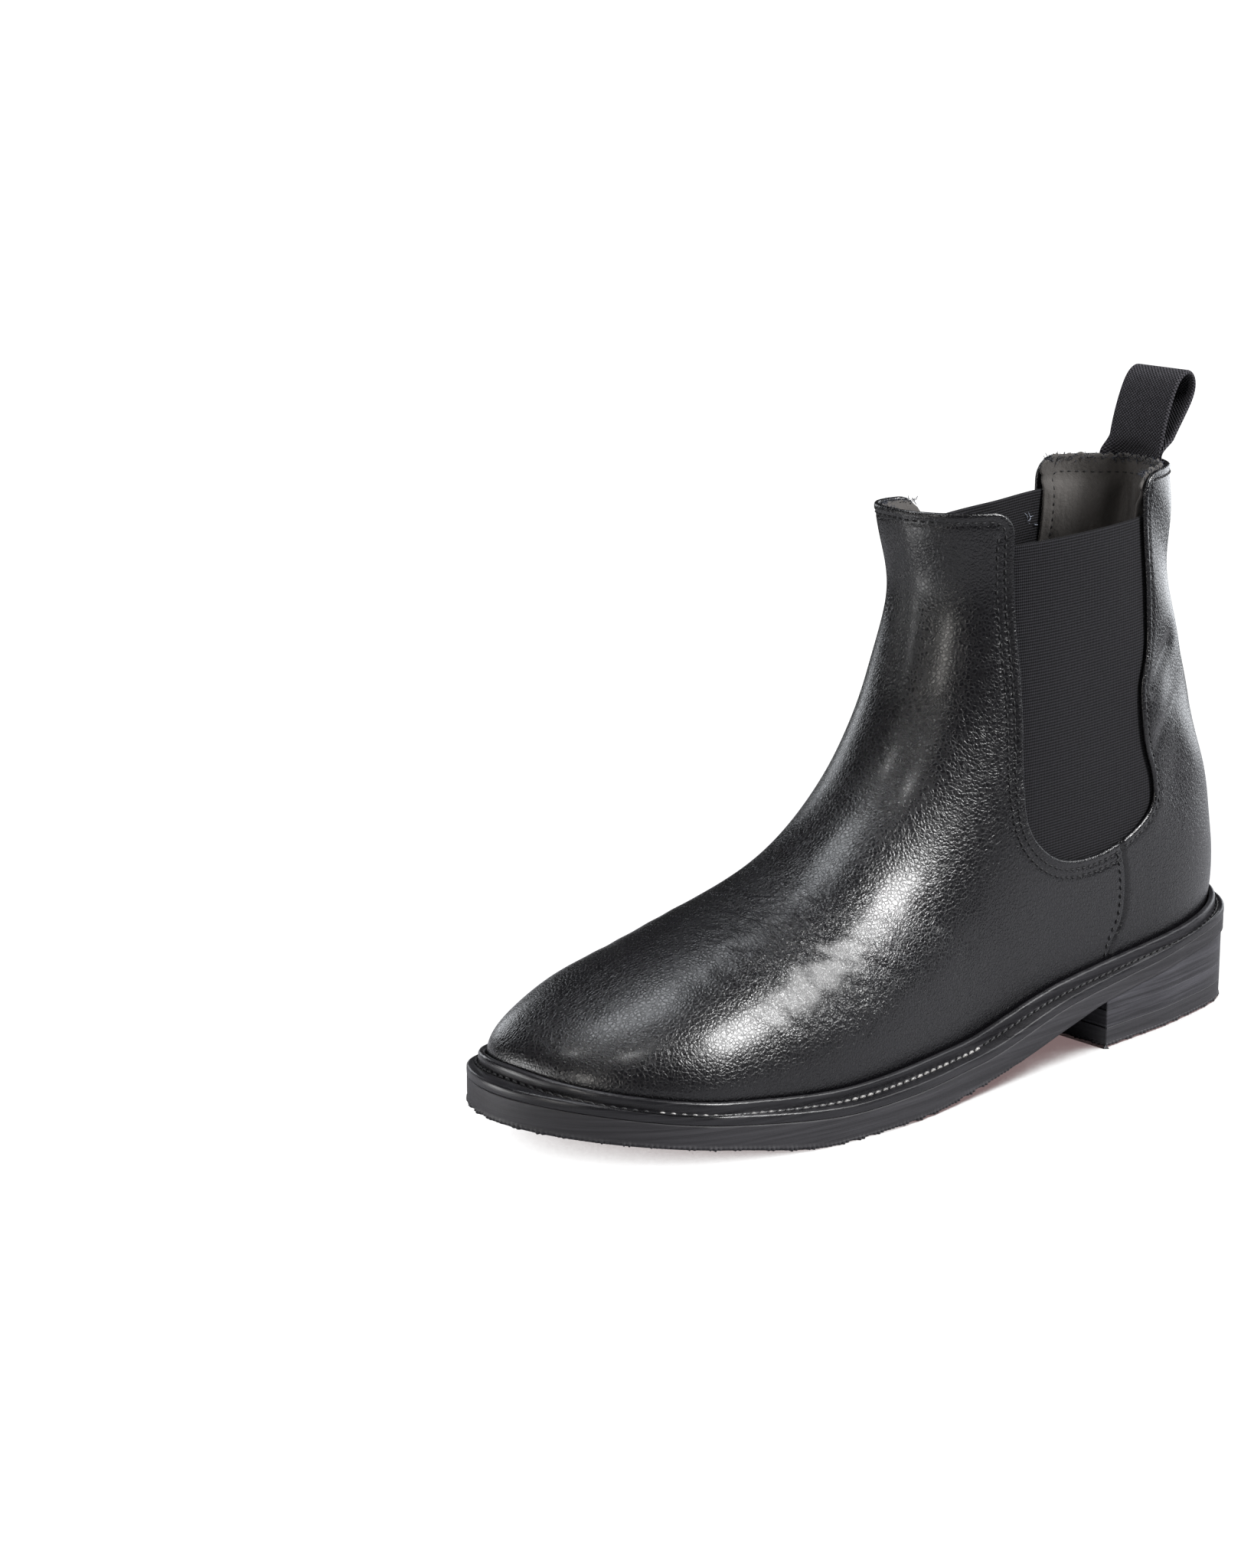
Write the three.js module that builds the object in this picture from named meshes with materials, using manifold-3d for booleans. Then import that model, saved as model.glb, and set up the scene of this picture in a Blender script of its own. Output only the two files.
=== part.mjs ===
// A left chelsea boot, as separate pieces: storm-welted sole unit, stacked heel, leather upper in
// layers (outer leather, stiffeners and elastic gores, lining), and a webbing pull tab.
// Millimetres, +Z up. The toe points to -Y, the heel to +Y, and the outer (lateral) side to +X.
// The finished group is moved so that its origin is at the middle of the bottom of its box.
import * as THREE from "three";
import { mergeVertices } from "three/addons/utils/BufferGeometryUtils.js";
import Module from "manifold-3d";

const wasm = await Module();
wasm.setup();

// ---------- driving dimensions ----------
const SOLE_LENGTH = 300;
const HALF_LENGTH = SOLE_LENGTH / 2;
const WELT_THICKNESS = 3;
const RIB_HEIGHT = 3.2;
const RIB_WIDTH = 2;
const RIB_CLEARANCE = 1; // the upper swells out above the welt, and the rib leans with it
const WELT_MARGIN = 6.5; // from the sole's edge in to the upper
const GAP = 0.3; // between pieces that touch
const HEEL_BREAST_Y = 66;
const TOP_LIFT_HEIGHT = 6.6;
const LIFT_JOIN_Z = 12.6; // between the two heel lifts
const HEEL_INSET = 0.6;
const LEATHER = 1.6;
const STIFFENER_DEPTH = [1.9, 3.1]; // depths below the outer surface
const LINING_DEPTH = [3.4, 4.4];
const BACKSTAY_DEPTH = [-1.7, -0.3]; // a strip stitched on over the back seam
const BACKSTAY_HALF_WIDTH = 10.5;
const BACKSTAY_BOTTOM_Z = 38.5;
const BACKSTAY_TOP_Z = 176;
const REAR_HALF_Y = 90; // behind this, a box takes in only the back of the shaft
const GORE_UNDERLAP = 8; // gore hidden under the leather
const FRONT_COLLAR_Z = 175;
const REAR_COLLAR_Z = 181;
const COLLAR_CORNER_RADIUS = 7;
const GORE_TOP_FRONT_Z = 164;
const GORE_TOP_REAR_Z = 167;
const MEDIAL_GORE_RISE = 3.5; // the medial elastic stands this much higher
const FOLD_PIVOT = [28, 77.5]; // y, z of the crease that the shaft's front bends about
const FOLD_ANGLE = 20; // the crease's rise towards the instep, degrees
const FOLD_WEDGE = 9; // the opening that lets the front bend, degrees
const TAB_WIDTH = 22.5;
const TAB_THICKNESS = 1.5;
const TAB_FOLD_Z = 183.3;
const TAB_TUCK_Z = 158; // how far the tab's ends reach down inside the collar
const TAB_ENDS_TOP_Z = 181.4; // clear of the loop as it folds back
const TAB_ROOT_Y = 114.3;
const NAIL_RADIUS = 1.1;
const TAB_STEPS = 26;
const AROUND = 52; // points around each ring of the upper
const ROWS = 14; // rings from the feather line to above the collar
const SHELL_TOP_Z = 190;

// ---------- interpolation ----------

// A monotone cubic curve through stations [t, value].
function through(stations) {
  const t = stations.map((s) => s[0]);
  const value = stations.map((s) => s[1]);
  const last = t.length - 1;
  const slope = t.slice(1).map((_, i) => (value[i + 1] - value[i]) / (t[i + 1] - t[i]));
  const tangent = t.map((_, i) => {
    if (i === 0) return slope[0];
    if (i === last) return slope[last - 1];
    if (slope[i - 1] * slope[i] <= 0) return 0;
    return (2 * slope[i - 1] * slope[i]) / (slope[i - 1] + slope[i]);
  });
  return (x) => {
    const clamped = Math.min(Math.max(x, t[0]), t[last]);
    let i = 0;
    while (i < last - 1 && clamped > t[i + 1]) i += 1;
    const h = t[i + 1] - t[i];
    const s = (clamped - t[i]) / h;
    const a = value[i] * (1 + 2 * s) * (1 - s) ** 2 + tangent[i] * h * s * (1 - s) ** 2;
    const b = value[i + 1] * s * s * (3 - 2 * s) + tangent[i + 1] * h * s * s * (s - 1);
    return a + b;
  };
}

// Points on a smooth open curve through hand-chosen [y, z] points.
function smoothLine(points, count) {
  const curve = new THREE.CatmullRomCurve3(points.map(([a, b]) => new THREE.Vector3(a, b, 0)));
  return curve.getSpacedPoints(count).map((p) => [p.x, p.y]);
}

// ---------- the sole's outline and levels ----------

// Clockwise from the back of the heel along the lateral side to the toe and back.
const SOLE_OUTLINE = [
  [0, 150], [25, 139], [35, 106], [38.5, 76], [42, 37], [46, 2], [51, -33], [51, -70], [42, -111],
  [22, -139], [-4, -150], [-31, -138], [-46.5, -105], [-47, -62], [-40, -20], [-36, 22], [-36, 62],
  [-36, 106], [-26, 138],
];

// Height of the welt's upper face, rising under the toe and under the arch and heel.
const weltTop = through([[-150, 24], [-100, 16], [-50, 11.7], [0, 13.2], [50, 22], [100, 27.3], [150, 33]]);
// Height of the outsole's underside: flat under the ball, rising under the toe and the arch.
const soleBottom = through([
  [-150, 12], [-100, 4.9], [-64, 0], [-24, 0], [0, 1.9], [20, 5.3], [50, 12], [66, 15.5], [100, 19.5],
  [150, 24.5],
]);

function closedRing(points, count) {
  const curve = new THREE.CatmullRomCurve3(
    points.map(([x, y]) => new THREE.Vector3(x, y, 0)), true, "catmullrom", 0.5,
  );
  curve.arcLengthDivisions = 2000;
  return curve.getSpacedPoints(count).slice(0, count).map((p) => [p.x, p.y]);
}

// Moves each point of a closed ring inwards.
function inset(ring, distance) {
  const count = ring.length;
  return ring.map((p, i) => {
    const before = ring[(i + count - 1) % count];
    const after = ring[(i + 1) % count];
    const along = [after[0] - before[0], after[1] - before[1]];
    const size = Math.hypot(...along);
    return [p[0] + (distance * along[1]) / size, p[1] - (distance * along[0]) / size];
  });
}

const soleRing = closedRing(SOLE_OUTLINE, AROUND);
const boxX = soleRing.map((p) => p[0]);
const boxY = soleRing.map((p) => p[1]);
const MIDDLE_X = (Math.max(...boxX) + Math.min(...boxX)) / 2;
const MIDDLE_Y = (Math.max(...boxY) + Math.min(...boxY)) / 2;

// ---------- the upper's outer surface ----------

// The foot's volume along y: centre x, lateral and medial half widths, ridge height.
const footCentre = through([[-150, -6], [-125, -5], [-98, -2.5], [-70, 0], [-40, 1.5], [-10, 1], [20, 0],
  [150, 0]]);
const footLateral = through([[-150, 40], [-125, 41.5], [-98, 44.5], [-70, 44.5], [-40, 43], [-10, 40],
  [20, 36.5], [50, 33], [100, 30], [150, 30]]);
const footMedial = through([[-150, 36], [-125, 36], [-98, 41.5], [-70, 44], [-40, 41.5], [-10, 38], [20, 35.5],
  [50, 33], [100, 30], [150, 30]]);
const footRidge = through([[-150, 15], [-125, 21.5], [-98, 32], [-70, 43.5], [-40, 55], [-10, 67], [20, 80],
  [50, 92], [100, 98], [150, 98]]);
const TOE_START_Y = -98;
const TOE_LENGTH = 43;
const HEEL_START_Y = 95;
const HEEL_LENGTH = 46.5;
const WALL_RISE = 11;
// Height of the nearly upright wall above the welt before the top rounds over; low at the rounded toe.
const wallRise = through([[-150, 2.5], [-98, 3.5], [-60, 6.5], [-10, WALL_RISE], [150, WALL_RISE]]);
const MEDIAL_SAG = 12; // how far the unworn shaft closes in at the collar on its medial side

// The shaft's volume along z: front and back y, half width.
const shaftFront = through([[20, 18], [45, 8], [70, 2], [95, 5], [120, 11], [145, 13], [170, 7], [190, 4]]);
const shaftBack = through([[20, 126], [45, 127], [70, 123.5], [95, 115.5], [120, 110], [145, 111], [170, 116],
  [190, 117]]);
const shaftHalfWidth = through([[20, 24], [45, 26], [70, 28.5], [95, 30], [120, 30], [145, 29.5], [190, 30]]);

// Negative inside the boot, zero on its outer surface, in rough millimetres.
function upperField(x, y, z) {
  const along = Math.min(Math.max(y, -HALF_LENGTH), HALF_LENGTH);
  const side = x - footCentre(along);
  const halfWidth = side > 0 ? footLateral(along) : footMedial(along);
  const wall = wallRise(along);
  const wallTop = weltTop(along) + wall;
  const tuck = 1 - 0.035 * Math.min(Math.max((wallTop - z) / wall, 0), 1.2) ** 2;
  const across = Math.abs(side) / (halfWidth * tuck);
  const toe = Math.max(0, TOE_START_Y - y) / (TOE_LENGTH * tuck);
  const heel = Math.max(0, y - HEEL_START_Y) / (HEEL_LENGTH * tuck);
  const plan = (across ** 2.3 + toe ** 2.3 + heel ** 2.3) ** (1 / 2.3);
  const rise = Math.max((z - wallTop) / (footRidge(along) + 3 - wall), 0);
  const foot = ((plan ** 2.5 + rise ** 2) ** (1 / 2.3) - 1) * 30;

  const level = Math.min(Math.max(z, 0), 200);
  const middle = (shaftFront(level) + shaftBack(level)) / 2;
  const reach = (shaftBack(level) - shaftFront(level)) / 2;
  const sideways = Math.abs(x / shaftHalfWidth(level));
  const lengthways = Math.abs((y - middle) / reach);
  const shaft = ((sideways ** 2.45 + lengthways ** 2.45) ** (1 / 2.45) - 1) * 34;

  const blend = 26;
  const mix = Math.min(Math.max(0.5 + (0.5 * (shaft - foot)) / blend, 0), 1);
  return shaft + (foot - shaft) * mix - blend * mix * (1 - mix);
}

function upperSlope(x, y, z) {
  const step = 0.5;
  return [
    (upperField(x + step, y, z) - upperField(x - step, y, z)) / (2 * step),
    (upperField(x, y + step, z) - upperField(x, y - step, z)) / (2 * step),
    (upperField(x, y, z + step) - upperField(x, y, z - step)) / (2 * step),
  ];
}

// A ring of the shaft's oval at one height, evenly spaced, starting at the back.
function ovalRing(z, count) {
  const middle = (shaftFront(z) + shaftBack(z)) / 2;
  const reach = (shaftBack(z) - shaftFront(z)) / 2;
  const ellipse = new THREE.EllipseCurve(middle, 0, reach, shaftHalfWidth(z), 0, 2 * Math.PI);
  return ellipse.getSpacedPoints(count).slice(0, count).map((p) => [p.y, p.x]);
}

// Guide rings from the feather line to above the collar. A smooth line through them gives every row
// a start, which is then moved onto the surface.
const GUIDE_KNOTS = [0, 0.1, 0.36, 0.62, 1];

function guideRings() {
  const feather = inset(soleRing, WELT_MARGIN);
  const ankle = ovalRing(105, AROUND);
  const top = ovalRing(SHELL_TOP_Z, AROUND);
  return feather.map(([x, y], i) => {
    const turn = (2 * Math.PI * i) / AROUND;
    const toeward = (1 - Math.cos(turn)) / 2;
    const middleZ = 62 + 16 * toeward ** 6 - 6 * Math.sin(turn) ** 2;
    return [
      [x, y, weltTop(y) + GAP],
      [x, y, weltTop(y) + WALL_RISE],
      [0.85 * x, 0.86 * y + 16 * toeward - 4, middleZ],
      [ankle[i][0], ankle[i][1], 105],
      [top[i][0], top[i][1], SHELL_TOP_Z],
    ];
  });
}

function ontoSurface(start, keepHeight) {
  let point = start;
  for (let pass = 0; pass < 12; pass += 1) {
    const value = upperField(...point);
    const slope = upperSlope(...point);
    if (keepHeight) slope[2] = 0;
    const size = Math.max(slope[0] ** 2 + slope[1] ** 2 + slope[2] ** 2, 1e-4);
    const move = Math.min(Math.max(value / size, -15), 15);
    point = point.map((c, k) => c - move * slope[k]);
  }
  return point;
}

// surface[row][i] = { point, normal }
const surface = Array.from({ length: ROWS }, () => []);
guideRings().forEach((guides, i) => {
  const lines = [0, 1, 2].map((k) => through(guides.map((g, n) => [GUIDE_KNOTS[n], g[k]])));
  for (let row = 0; row < ROWS; row += 1) {
    const v = row / (ROWS - 1);
    const start = lines.map((line) => line(v));
    const edgeRow = row === 0 || row === ROWS - 1;
    const point = ontoSurface(start, edgeRow);
    const slope = upperSlope(...point);
    if (edgeRow) slope[2] = 0;
    const size = Math.hypot(...slope);
    surface[row][i] = { point, normal: slope.map((c) => c / size) };
  }
});

function smoothStep(value, low, high) {
  const s = Math.min(Math.max((value - low) / (high - low), 0), 1);
  return s * s * (3 - 2 * s);
}

// The unworn shaft closes in a little on its medial side: the elastic more than the stiff back.
function relaxed([x, y, z]) {
  const share = smoothStep(z, 110, 172) * smoothStep(y, 6, 38) * smoothStep(-x, 0, 20);
  return [x + MEDIAL_SAG * share * (1 - 0.42 * smoothStep(y, 62, 98)), y, z];
}

// ---------- solids ----------

function closedGeometry(positions, faces) {
  const volume = faces.reduce((sum, [a, b, c]) => {
    const [p, q, r] = [positions[a], positions[b], positions[c]];
    return sum + p[0] * (q[1] * r[2] - q[2] * r[1]) + p[1] * (q[2] * r[0] - q[0] * r[2])
      + p[2] * (q[0] * r[1] - q[1] * r[0]);
  }, 0);
  const ordered = volume > 0 ? faces : faces.map(([a, b, c]) => [a, c, b]);
  const geometry = new THREE.BufferGeometry();
  geometry.setAttribute("position", new THREE.Float32BufferAttribute(positions.flat(), 3));
  geometry.setIndex(ordered.flat());
  return geometry;
}

// Joins rings of equal count into a closed ring-shaped body: the last ring joins the first. From
// ring mirroredFrom on, each four-sided face is split along its other diagonal.
function hoop(rings, mirroredFrom = rings.length) {
  const count = rings[0].length;
  const positions = rings.flat();
  const faces = [];
  rings.forEach((_, r) => {
    const here = r * count;
    const next = ((r + 1) % rings.length) * count;
    for (let i = 0; i < count; i += 1) {
      const j = (i + 1) % count;
      if (r < mirroredFrom) faces.push([here + i, here + j, next + j], [here + i, next + j, next + i]);
      else faces.push([here + i, here + j, next + i], [here + j, next + j, next + i]);
    }
  });
  return closedGeometry(positions, faces);
}

// A layer of the upper between two depths below its outer surface. Its two faces are split along
// the same diagonals, so that neighbouring layers stay parallel.
function layer([nearDepth, farDepth]) {
  const sunk = ({ point, normal }, depth) => relaxed(point.map((c, k) => c - depth * normal[k]));
  const at = (row, depth) => surface[row].map((place) => sunk(place, depth));
  const outside = surface.map((_, row) => at(row, nearDepth));
  const inside = surface.map((_, row) => at(row, farDepth)).reverse();
  return hoop([...outside, ...inside], outside.length);
}

// A plate with the given closed ring, between a lower and an upper height along y. Points i and
// count - i face each other across the boot, so the faces run straight across.
function plate(ring, bottomAt, topAt) {
  const count = ring.length;
  const levels = [bottomAt, topAt];
  const positions = levels.flatMap((level) => ring.map(([x, y]) => [x, y, level(y)]));
  const faces = [];
  for (let i = 0; i < count; i += 1) {
    const j = (i + 1) % count;
    faces.push([i, count + j, j], [i, count + i, count + j]);
  }
  for (let i = 0; i < count / 2; i += 1) {
    const across = (count - i) % count;
    const nextAcross = count - i - 1;
    if (i > 0) faces.push([i, i + 1, across], [count + i, count + across, count + i + 1]);
    if (i + 1 < nextAcross) {
      faces.push([across, i + 1, nextAcross], [count + across, count + nextAcross, count + i + 1]);
    }
  }
  return closedGeometry(positions, faces);
}

// A side-view outline of [y, z] points pushed across the boot from x = from to x = to.
function sidePrism(outline, from = -90, to = 90) {
  const shape = new THREE.Shape(outline.map(([y, z]) => new THREE.Vector2(y, z)));
  const geometry = new THREE.ExtrudeGeometry(shape, { depth: to - from, bevelEnabled: false });
  const sideways = new THREE.Matrix4().set(0, 0, 1, from, 1, 0, 0, 0, 0, 1, 0, 0, 0, 0, 0, 1);
  return geometry.applyMatrix4(sideways);
}

function box(low, high) {
  const geometry = new THREE.BoxGeometry(...high.map((c, k) => c - low[k]));
  return geometry.translate(...high.map((c, k) => (c + low[k]) / 2));
}

function toSolid(geometry) {
  const plain = geometry.clone();
  plain.deleteAttribute("normal");
  plain.deleteAttribute("uv");
  const merged = mergeVertices(plain, 1e-4);
  return new wasm.Manifold(new wasm.Mesh({
    numProp: 3,
    vertProperties: new Float32Array(merged.attributes.position.array),
    triVerts: new Uint32Array(merged.index.array),
  }));
}

function toGeometry(solid) {
  const mesh = solid.getMesh();
  const geometry = new THREE.BufferGeometry();
  geometry.setAttribute("position", new THREE.Float32BufferAttribute(mesh.vertProperties, 3));
  geometry.setIndex(Array.from(mesh.triVerts));
  return geometry;
}

const intersect = (first, ...others) => others.reduce((kept, other) => kept.intersect(toSolid(other)), first);
const subtract = (first, ...others) => others.reduce((kept, other) => kept.subtract(toSolid(other)), first);

// ---------- side-view outlines of the upper's panels ----------

// Side-view shapes of the two stiffeners, as [y, z].
const TOE_PUFF = [[-220, -10], [-104, -10], [-112, 80], [-220, 80]];
const HEEL_COUNTER = [[220, -10], [220, 92], [112, 84], [103, 62], [84, 52], [76, -10]];

// The gore opening's edge, down the front, round the bottom and up the back.
const GORE_EDGE = [
  [30.5, 166], [31.5, 140], [31.5, 115], [30, 90], [33, 75], [45, 65], [62, 63], [80, 67], [91.5, 74.5],
  [92.5, 84], [87.5, 99], [87, 114], [91.5, 132], [89.5, 167],
];
const GORE_EDGE_STEPS = 44;
const SEAM_TOP_Y = 74.5; // where the side seam meets the gore's lower edge
const SIDE_SEAM = [[69.5, -10], [72.5, 28], [77.5, 40], [78, 52]];

// The gore's edge moved outwards, away from the opening.
function goreEdge(distance) {
  const line = smoothLine(GORE_EDGE, GORE_EDGE_STEPS);
  return line.map((p, i) => {
    const before = line[Math.max(i - 1, 0)];
    const after = line[Math.min(i + 1, line.length - 1)];
    const along = [after[0] - before[0], after[1] - before[1]];
    const size = Math.hypot(...along);
    return [p[0] + (distance * along[1]) / size, p[1] - (distance * along[0]) / size];
  });
}

function splitGoreEdge(recess) {
  const line = goreEdge(recess);
  const bottom = line.findIndex(([y, z]) => z < 80 && y > SEAM_TOP_Y);
  const meeting = [SEAM_TOP_Y, (line[bottom - 1][1] + line[bottom][1]) / 2];
  return { front: line.slice(0, bottom), meeting, rear: line.slice(bottom) };
}

// A quarter circle for a collar corner, from the gore's edge to the level collar.
function collarCorner(edgeY, topZ, direction) {
  const steps = [0, 1, 2, 3, 4];
  return steps.map((s) => {
    const turn = (s / 4) * (Math.PI / 2);
    return [
      edgeY + direction * COLLAR_CORNER_RADIUS * (1 - Math.cos(turn)),
      topZ - COLLAR_CORNER_RADIUS * (1 - Math.sin(turn)),
    ];
  });
}

// Vamp and shaft front together: everything ahead of the side seam and the gore.
function frontOutline(recess) {
  const { front, meeting } = splitGoreEdge(recess);
  const corner = collarCorner(front[0][0], FRONT_COLLAR_Z - recess, -1);
  const top = FRONT_COLLAR_Z - recess;
  return [[-220, -30], ...SIDE_SEAM, meeting, ...front.toReversed(), ...corner, [-220, top]];
}

// Both quarters together: everything behind the side seam and the gore.
function rearOutline(recess) {
  const { rear, meeting } = splitGoreEdge(recess);
  const seam = SIDE_SEAM.map(([y, z]) => [y + GAP, z]);
  const corner = collarCorner(rear.at(-1)[0], REAR_COLLAR_Z - recess, 1);
  return [
    [220, -30], [220, REAR_COLLAR_Z - recess], ...corner.toReversed(), ...rear.toReversed(),
    [meeting[0] + GAP, meeting[1]], ...seam.toReversed(),
  ];
}

const degrees = (angle) => (angle * Math.PI) / 180;
const [PIVOT_Y, PIVOT_Z] = FOLD_PIVOT;
const FRONT_LIMIT_Y = -220;

function foldHeight(angle) {
  return PIVOT_Z + (PIVOT_Y - FRONT_LIMIT_Y) * Math.tan(degrees(angle));
}

const belowFold = sidePrism([
  [FRONT_LIMIT_Y, -40], [130, -40], [130, 68], [PIVOT_Y, PIVOT_Z], [FRONT_LIMIT_Y, foldHeight(FOLD_ANGLE)],
]);
const aboveFold = sidePrism([
  [PIVOT_Y + 30, PIVOT_Z + GAP], [PIVOT_Y + 30, 400], [FRONT_LIMIT_Y, 400],
  [FRONT_LIMIT_Y, foldHeight(FOLD_ANGLE + FOLD_WEDGE) + GAP], [PIVOT_Y, PIVOT_Z + GAP],
]);

// ---------- the model ----------

const boot = new THREE.Group();

const materials = {
  leather: new THREE.MeshStandardMaterial({ color: 0x17171a, roughness: 0.34, metalness: 0 }),
  lining: new THREE.MeshStandardMaterial({ color: 0x5a534d, roughness: 0.85, metalness: 0 }),
  elastic: new THREE.MeshStandardMaterial({ color: 0x232327, roughness: 0.9, metalness: 0 }),
  webbing: new THREE.MeshStandardMaterial({ color: 0x1c1c20, roughness: 0.85, metalness: 0 }),
  rubber: new THREE.MeshStandardMaterial({ color: 0x1b1b1d, roughness: 0.7, metalness: 0 }),
  welt: new THREE.MeshStandardMaterial({ color: 0x1a1a1c, roughness: 0.55, metalness: 0 }),
  heelStack: new THREE.MeshStandardMaterial({ color: 0x1e1e20, roughness: 0.6, metalness: 0 }),
  cork: new THREE.MeshStandardMaterial({ color: 0x9c7449, roughness: 0.95, metalness: 0 }),
  insole: new THREE.MeshStandardMaterial({ color: 0xa98660, roughness: 0.8, metalness: 0 }),
  stiffener: new THREE.MeshStandardMaterial({ color: 0x8f8674, roughness: 0.8, metalness: 0 }),
  steel: new THREE.MeshStandardMaterial({ color: 0x9a9da1, roughness: 0.4, metalness: 1 }),
};

function add(name, shape, material) {
  const geometry = shape.isBufferGeometry ? shape : toGeometry(shape);
  const mesh = new THREE.Mesh(geometry, material);
  mesh.name = name;
  boot.add(mesh);
}

// ----- sole unit -----

const below = (level, drop) => (y) => level(y) - drop;
const flat = (z) => () => z;
const behindBreast = box([-90, HEEL_BREAST_Y, -10], [90, 200, 60]);

const NAILS = [[-20, 92], [20, 92], [-16, 122], [16, 122], [0, 134]];
const NAIL_BOTTOM_Z = 8;
const NAIL_SIDES = 8;
const nailTop = (y) => weltTop(y) - WELT_THICKNESS - 2 * GAP;

function nail(x, y, radius, bottom, top) {
  const geometry = new THREE.CylinderGeometry(radius, radius, top - bottom, NAIL_SIDES);
  return geometry.rotateX(Math.PI / 2).translate(x, y, (top + bottom) / 2);
}

const nailHoles = NAILS.map(([x, y]) => nail(x, y, NAIL_RADIUS + GAP, NAIL_BOTTOM_Z - GAP, 60));

function addSoleUnit() {
  const heelRing = inset(soleRing, HEEL_INSET);
  const outsoleTop = below(weltTop, WELT_THICKNESS + GAP);
  const outsole = toSolid(plate(soleRing, soleBottom, outsoleTop));
  add("outsole", subtract(outsole, ...nailHoles), materials.rubber);

  const seat = (y) => soleBottom(Math.max(y, HEEL_BREAST_Y - 5)) - GAP;
  const upperLift = toSolid(plate(heelRing, flat(LIFT_JOIN_Z), seat));
  add("heel_lift_upper", subtract(intersect(upperLift, behindBreast), ...nailHoles), materials.heelStack);
  const lowerLift = toSolid(plate(heelRing, flat(TOP_LIFT_HEIGHT + GAP), flat(LIFT_JOIN_Z - GAP)));
  add("heel_lift_lower", subtract(intersect(lowerLift, behindBreast), ...nailHoles), materials.heelStack);
  const topLift = toSolid(plate(heelRing, flat(0), flat(TOP_LIFT_HEIGHT)));
  add("heel_top_lift", intersect(topLift, behindBreast), materials.rubber);

  NAILS.forEach(([x, y], i) => {
    add(`heel_nail_${i + 1}`, nail(x, y, NAIL_RADIUS, NAIL_BOTTOM_Z, nailTop(y)), materials.steel);
  });
}

// A point just outside the upper's outer face, at height z, low on the wall.
function upperWall(i, z) {
  const low = surface[0][i];
  const high = surface[1][i];
  const part = Math.max(0, (z - low.point[2]) / (high.point[2] - low.point[2]));
  const clear = GAP + RIB_CLEARANCE * part;
  return low.point.map((c, k) => c + (high.point[k] - c) * part + clear * low.normal[k]);
}

// The storm welt: a flat rim with a raised rib that stands against the upper all the way round.
function addWelt() {
  const ring = (share, lift) => soleRing.map((edge, i) => {
    const z = weltTop(edge[1]) + lift;
    const wall = upperWall(i, z);
    const reach = Math.hypot(edge[0] - wall[0], edge[1] - wall[1]);
    const part = Math.min(share / reach, 1);
    return [wall[0] + (edge[0] - wall[0]) * part, wall[1] + (edge[1] - wall[1]) * part, z];
  });
  const outer = 100;
  add("storm_welt", hoop([
    ring(0, -WELT_THICKNESS), ring(outer, -WELT_THICKNESS), ring(outer, 0), ring(RIB_WIDTH + 1.2, 0),
    ring(RIB_WIDTH, RIB_HEIGHT), ring(0.4, RIB_HEIGHT), ring(0, RIB_HEIGHT - 0.6),
  ]), materials.welt);
}

const SHANK_FRONT_Y = -12;
const SHANK_REAR_Y = 96;
const SHANK_HALF_WIDTH = 7;
const SHANK_THICKNESS = 1.2;
const SHANK_DROP = 0.4; // the shank's upper face, below the welt's
const CORK_DROP = 0.1;
const INSOLE_RISE = [0.6, 3]; // heights above the welt
const SOCK_LINER_RISE = [3.3, 4.3];

// A long strip with rounded ends that follows the sole's rise.
function strip(grow, bottomDrop, topDrop) {
  const count = 28;
  const halfWidth = SHANK_HALF_WIDTH + grow;
  const front = SHANK_FRONT_Y - grow;
  const rear = SHANK_REAR_Y + grow;
  const ring = Array.from({ length: count }, (_, i) => {
    const turn = (2 * Math.PI * i) / count;
    const y = (front + rear) / 2 + ((rear - front) / 2) * Math.cos(turn);
    const x = halfWidth * Math.sign(Math.sin(turn)) * Math.abs(Math.sin(turn)) ** 0.35;
    return [x, y];
  });
  return plate(ring, below(weltTop, bottomDrop), below(weltTop, topDrop));
}

function featherRing(depth) {
  return surface[0].map(({ point, normal }) => [point[0] - depth * normal[0], point[1] - depth * normal[1]]);
}

function addFootbed() {
  const cork = plate(featherRing(GAP), below(weltTop, WELT_THICKNESS), below(weltTop, CORK_DROP));
  const slot = strip(GAP, SHANK_DROP + SHANK_THICKNESS + GAP, -5);
  add("cork_filler", subtract(toSolid(cork), slot), materials.cork);
  add("shank", strip(0, SHANK_DROP + SHANK_THICKNESS, SHANK_DROP), materials.steel);
  const [insoleBottom, insoleTop] = INSOLE_RISE;
  const insoleRing = featherRing(LINING_DEPTH[1] + 0.4);
  const insole = plate(insoleRing, below(weltTop, -insoleBottom), below(weltTop, -insoleTop));
  add("insole_board", insole, materials.insole);
  const [linerBottom, linerTop] = SOCK_LINER_RISE;
  const linerRing = featherRing(LINING_DEPTH[1] + 1);
  const liner = plate(linerRing, below(weltTop, -linerBottom), below(weltTop, -linerTop));
  add("sock_liner", liner, materials.lining);
}

// ----- upper -----

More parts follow.
